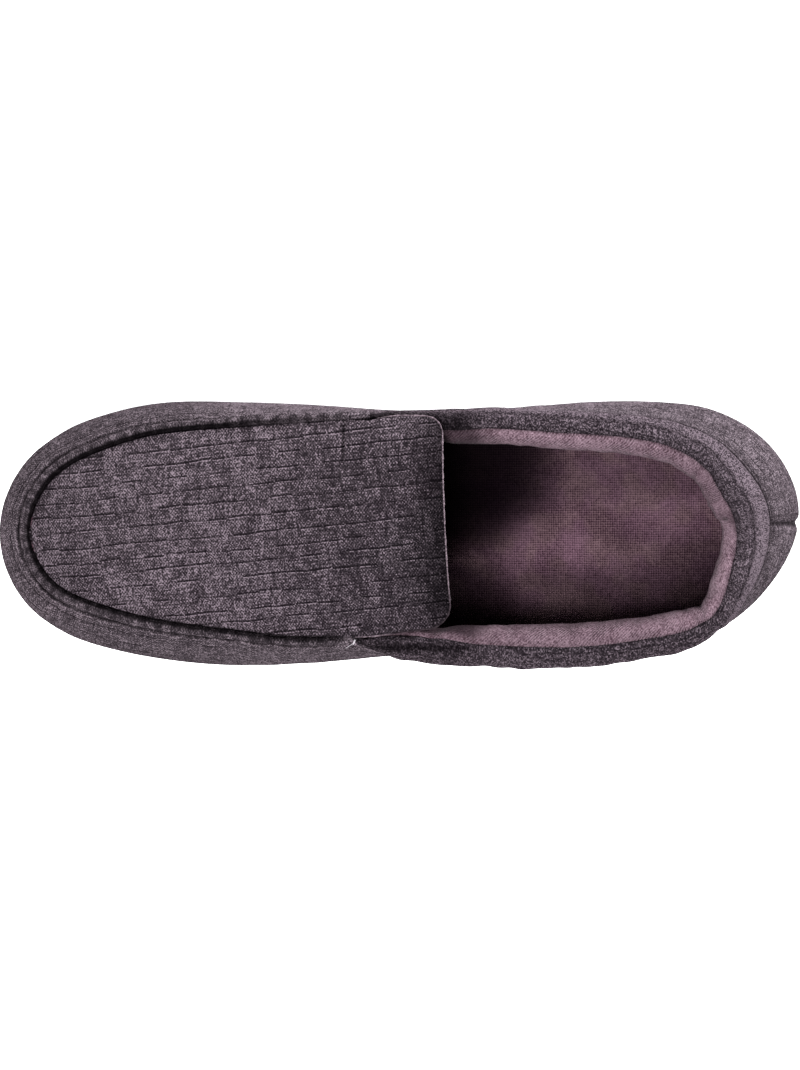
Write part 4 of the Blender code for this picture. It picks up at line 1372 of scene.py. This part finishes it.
cuff_knit = heather("cuff_knit", (0.097, 0.076, 0.091, 1), lines=0.30, clumps=0.7, salt=0.98)
collar = cuff_part("cuff_face", cuff_knit, FACE_FROM, knit_end())
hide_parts("cuff")
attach(collar, "root")

cuff_velour = velour("cuff_velour", (0.044, 0.025, 0.033, 1), (0.190, 0.130, 0.158, 1), ribs=1.0)
collar_lining = cuff_part("cuff_lining", cuff_velour, knit_end(), LINING_TO, lining=1.0)
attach(collar_lining, "root")


# Bar tack
# A short bar of white thread that holds the flap's outer edge to the wall where the raised seam ends. Two
# strands lie side by side, and a thin loose end hangs beside them.

# Strands: where each starts and ends from the flap's corner, along, across and up, and its radius
TACK_STRANDS = (
    (0.2, 1.0, 0.6, 0.8, 2.8, 0.3, 0.17),
    (-0.1, 1.1, 0.6, 0.6, 2.7, 0.3, 0.14),
    (0.8, 2.4, 0.4, 3.6, 4.3, -1.4, 0.08),
)


def bar_tack():
    place, link = start_material("tack_thread", {"Roughness": 0.8})
    fuzz = place.noise(0.3)
    material = link(Base_Color=fuzz.colour((0.16, 0.14, 0.16, 1), (0.46, 0.43, 0.46, 1)))
    corner = plug_surface[plug_seam_rows + 1, -1]
    share = np.linspace(0, 1, 9)[:, None]
    strands = []
    for number, (*ends, radius) in enumerate(TACK_STRANDS, 1):
        start, end = np.array(ends[:3]), np.array(ends[3:])
        arch_up = np.array([0, 0, 0.3]) * np.sin(np.pi * share)
        line = corner + start + (end - start) * share + arch_up
        strands.append(tube(f"bar_tack_{number}", material, line, radius, sides=8))
    return strands


for strand in bar_tack():
    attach(strand, "root")


# Floor, light and camera
# A plain white floor under soft light from above, a little from the outer side and the toe, with a low soft
# light behind the heel. The camera looks down on the shoe with the toe to the left, as the photograph does.

FLOOR_HALF = 8.0
STUDIO_LIGHT = 0.18
floor_mesh = bpy.data.meshes.new("floor")
floor_mesh.from_pydata(
    [(x * FLOOR_HALF, y * FLOOR_HALF, 0) for x, y in ((-1, -1), (1, -1), (1, 1), (-1, 1))],
    [],
    [(0, 1, 2, 3)],
)
floor_place, floor_link = start_material(
    "floor_white", {"Roughness": 1.0, "Emission Color": (1, 1, 1, 1), "Emission Strength": 0.8}
)
floor_mesh.materials.append(
    floor_link(Base_Color=floor_place.noise(400).colour((0.90, 0.90, 0.90, 1), (0.92, 0.92, 0.92, 1)))
)
floor = bpy.data.objects.new("floor", floor_mesh)
bpy.context.scene.collection.objects.link(floor)


def soft_light(name, location, size, power):
    """A square softbox that faces the shoe."""
    data = bpy.data.lights.new(name, "AREA")
    data.size, data.energy = size, power
    lamp = bpy.data.objects.new(name, data)
    lamp.location = location
    lamp.rotation_mode = "QUATERNION"
    lamp.rotation_quaternion = (Vector((0, 0, 0.03)) - lamp.location).to_track_quat("-Z", "Y")
    bpy.context.scene.collection.objects.link(lamp)


soft_light("key_softbox", Vector((0.18, 0.39, 1.52)), size=0.7, power=64)
soft_light("heel_softbox", Vector((-0.95, -1.00, 0.36)), size=0.6, power=54)

world = bpy.data.worlds.new("studio")
world.use_nodes = True
background = world.node_tree.nodes["Background"]
background.inputs["Color"].default_value = (1, 1, 1, 1)
background.inputs["Strength"].default_value = STUDIO_LIGHT
bpy.context.scene.world = world
bpy.context.scene.view_settings.view_transform = "Standard"

CAMERA_DISTANCE = 1.5
LEAN_TO_HEEL, LEAN_TO_INNER = 5, 3  # degrees that the camera stands off the vertical
AIM_HEIGHT = 25.0
PICTURE_HEIGHT, SHOE_PIXELS, SHOE_LENGTH = 1070, 797, 290.0  # how much of the picture the shoe fills

camera_data = bpy.data.cameras.new("camera")
camera_data.sensor_width = 36
focal_pixels = SHOE_PIXELS / (SHOE_LENGTH * MM) * CAMERA_DISTANCE
camera_data.lens = camera_data.sensor_width * focal_pixels / PICTURE_HEIGHT
camera = bpy.data.objects.new("camera", camera_data)
bpy.context.scene.collection.objects.link(camera)
leans = [-math.tan(math.radians(lean)) for lean in (LEAN_TO_HEEL, LEAN_TO_INNER)]
back = Vector((*leans, 1)).normalized()
right = (-back).cross(Vector((0, -1, 0))).normalized()
up = right.cross(-back)
aim = Vector((0, 0, AIM_HEIGHT * MM)) + Vector(shift)
turned = Matrix((right, up, back)).transposed().to_4x4()
camera.matrix_world = Matrix.Translation(aim + back * CAMERA_DISTANCE) @ turned
bpy.context.scene.camera = camera
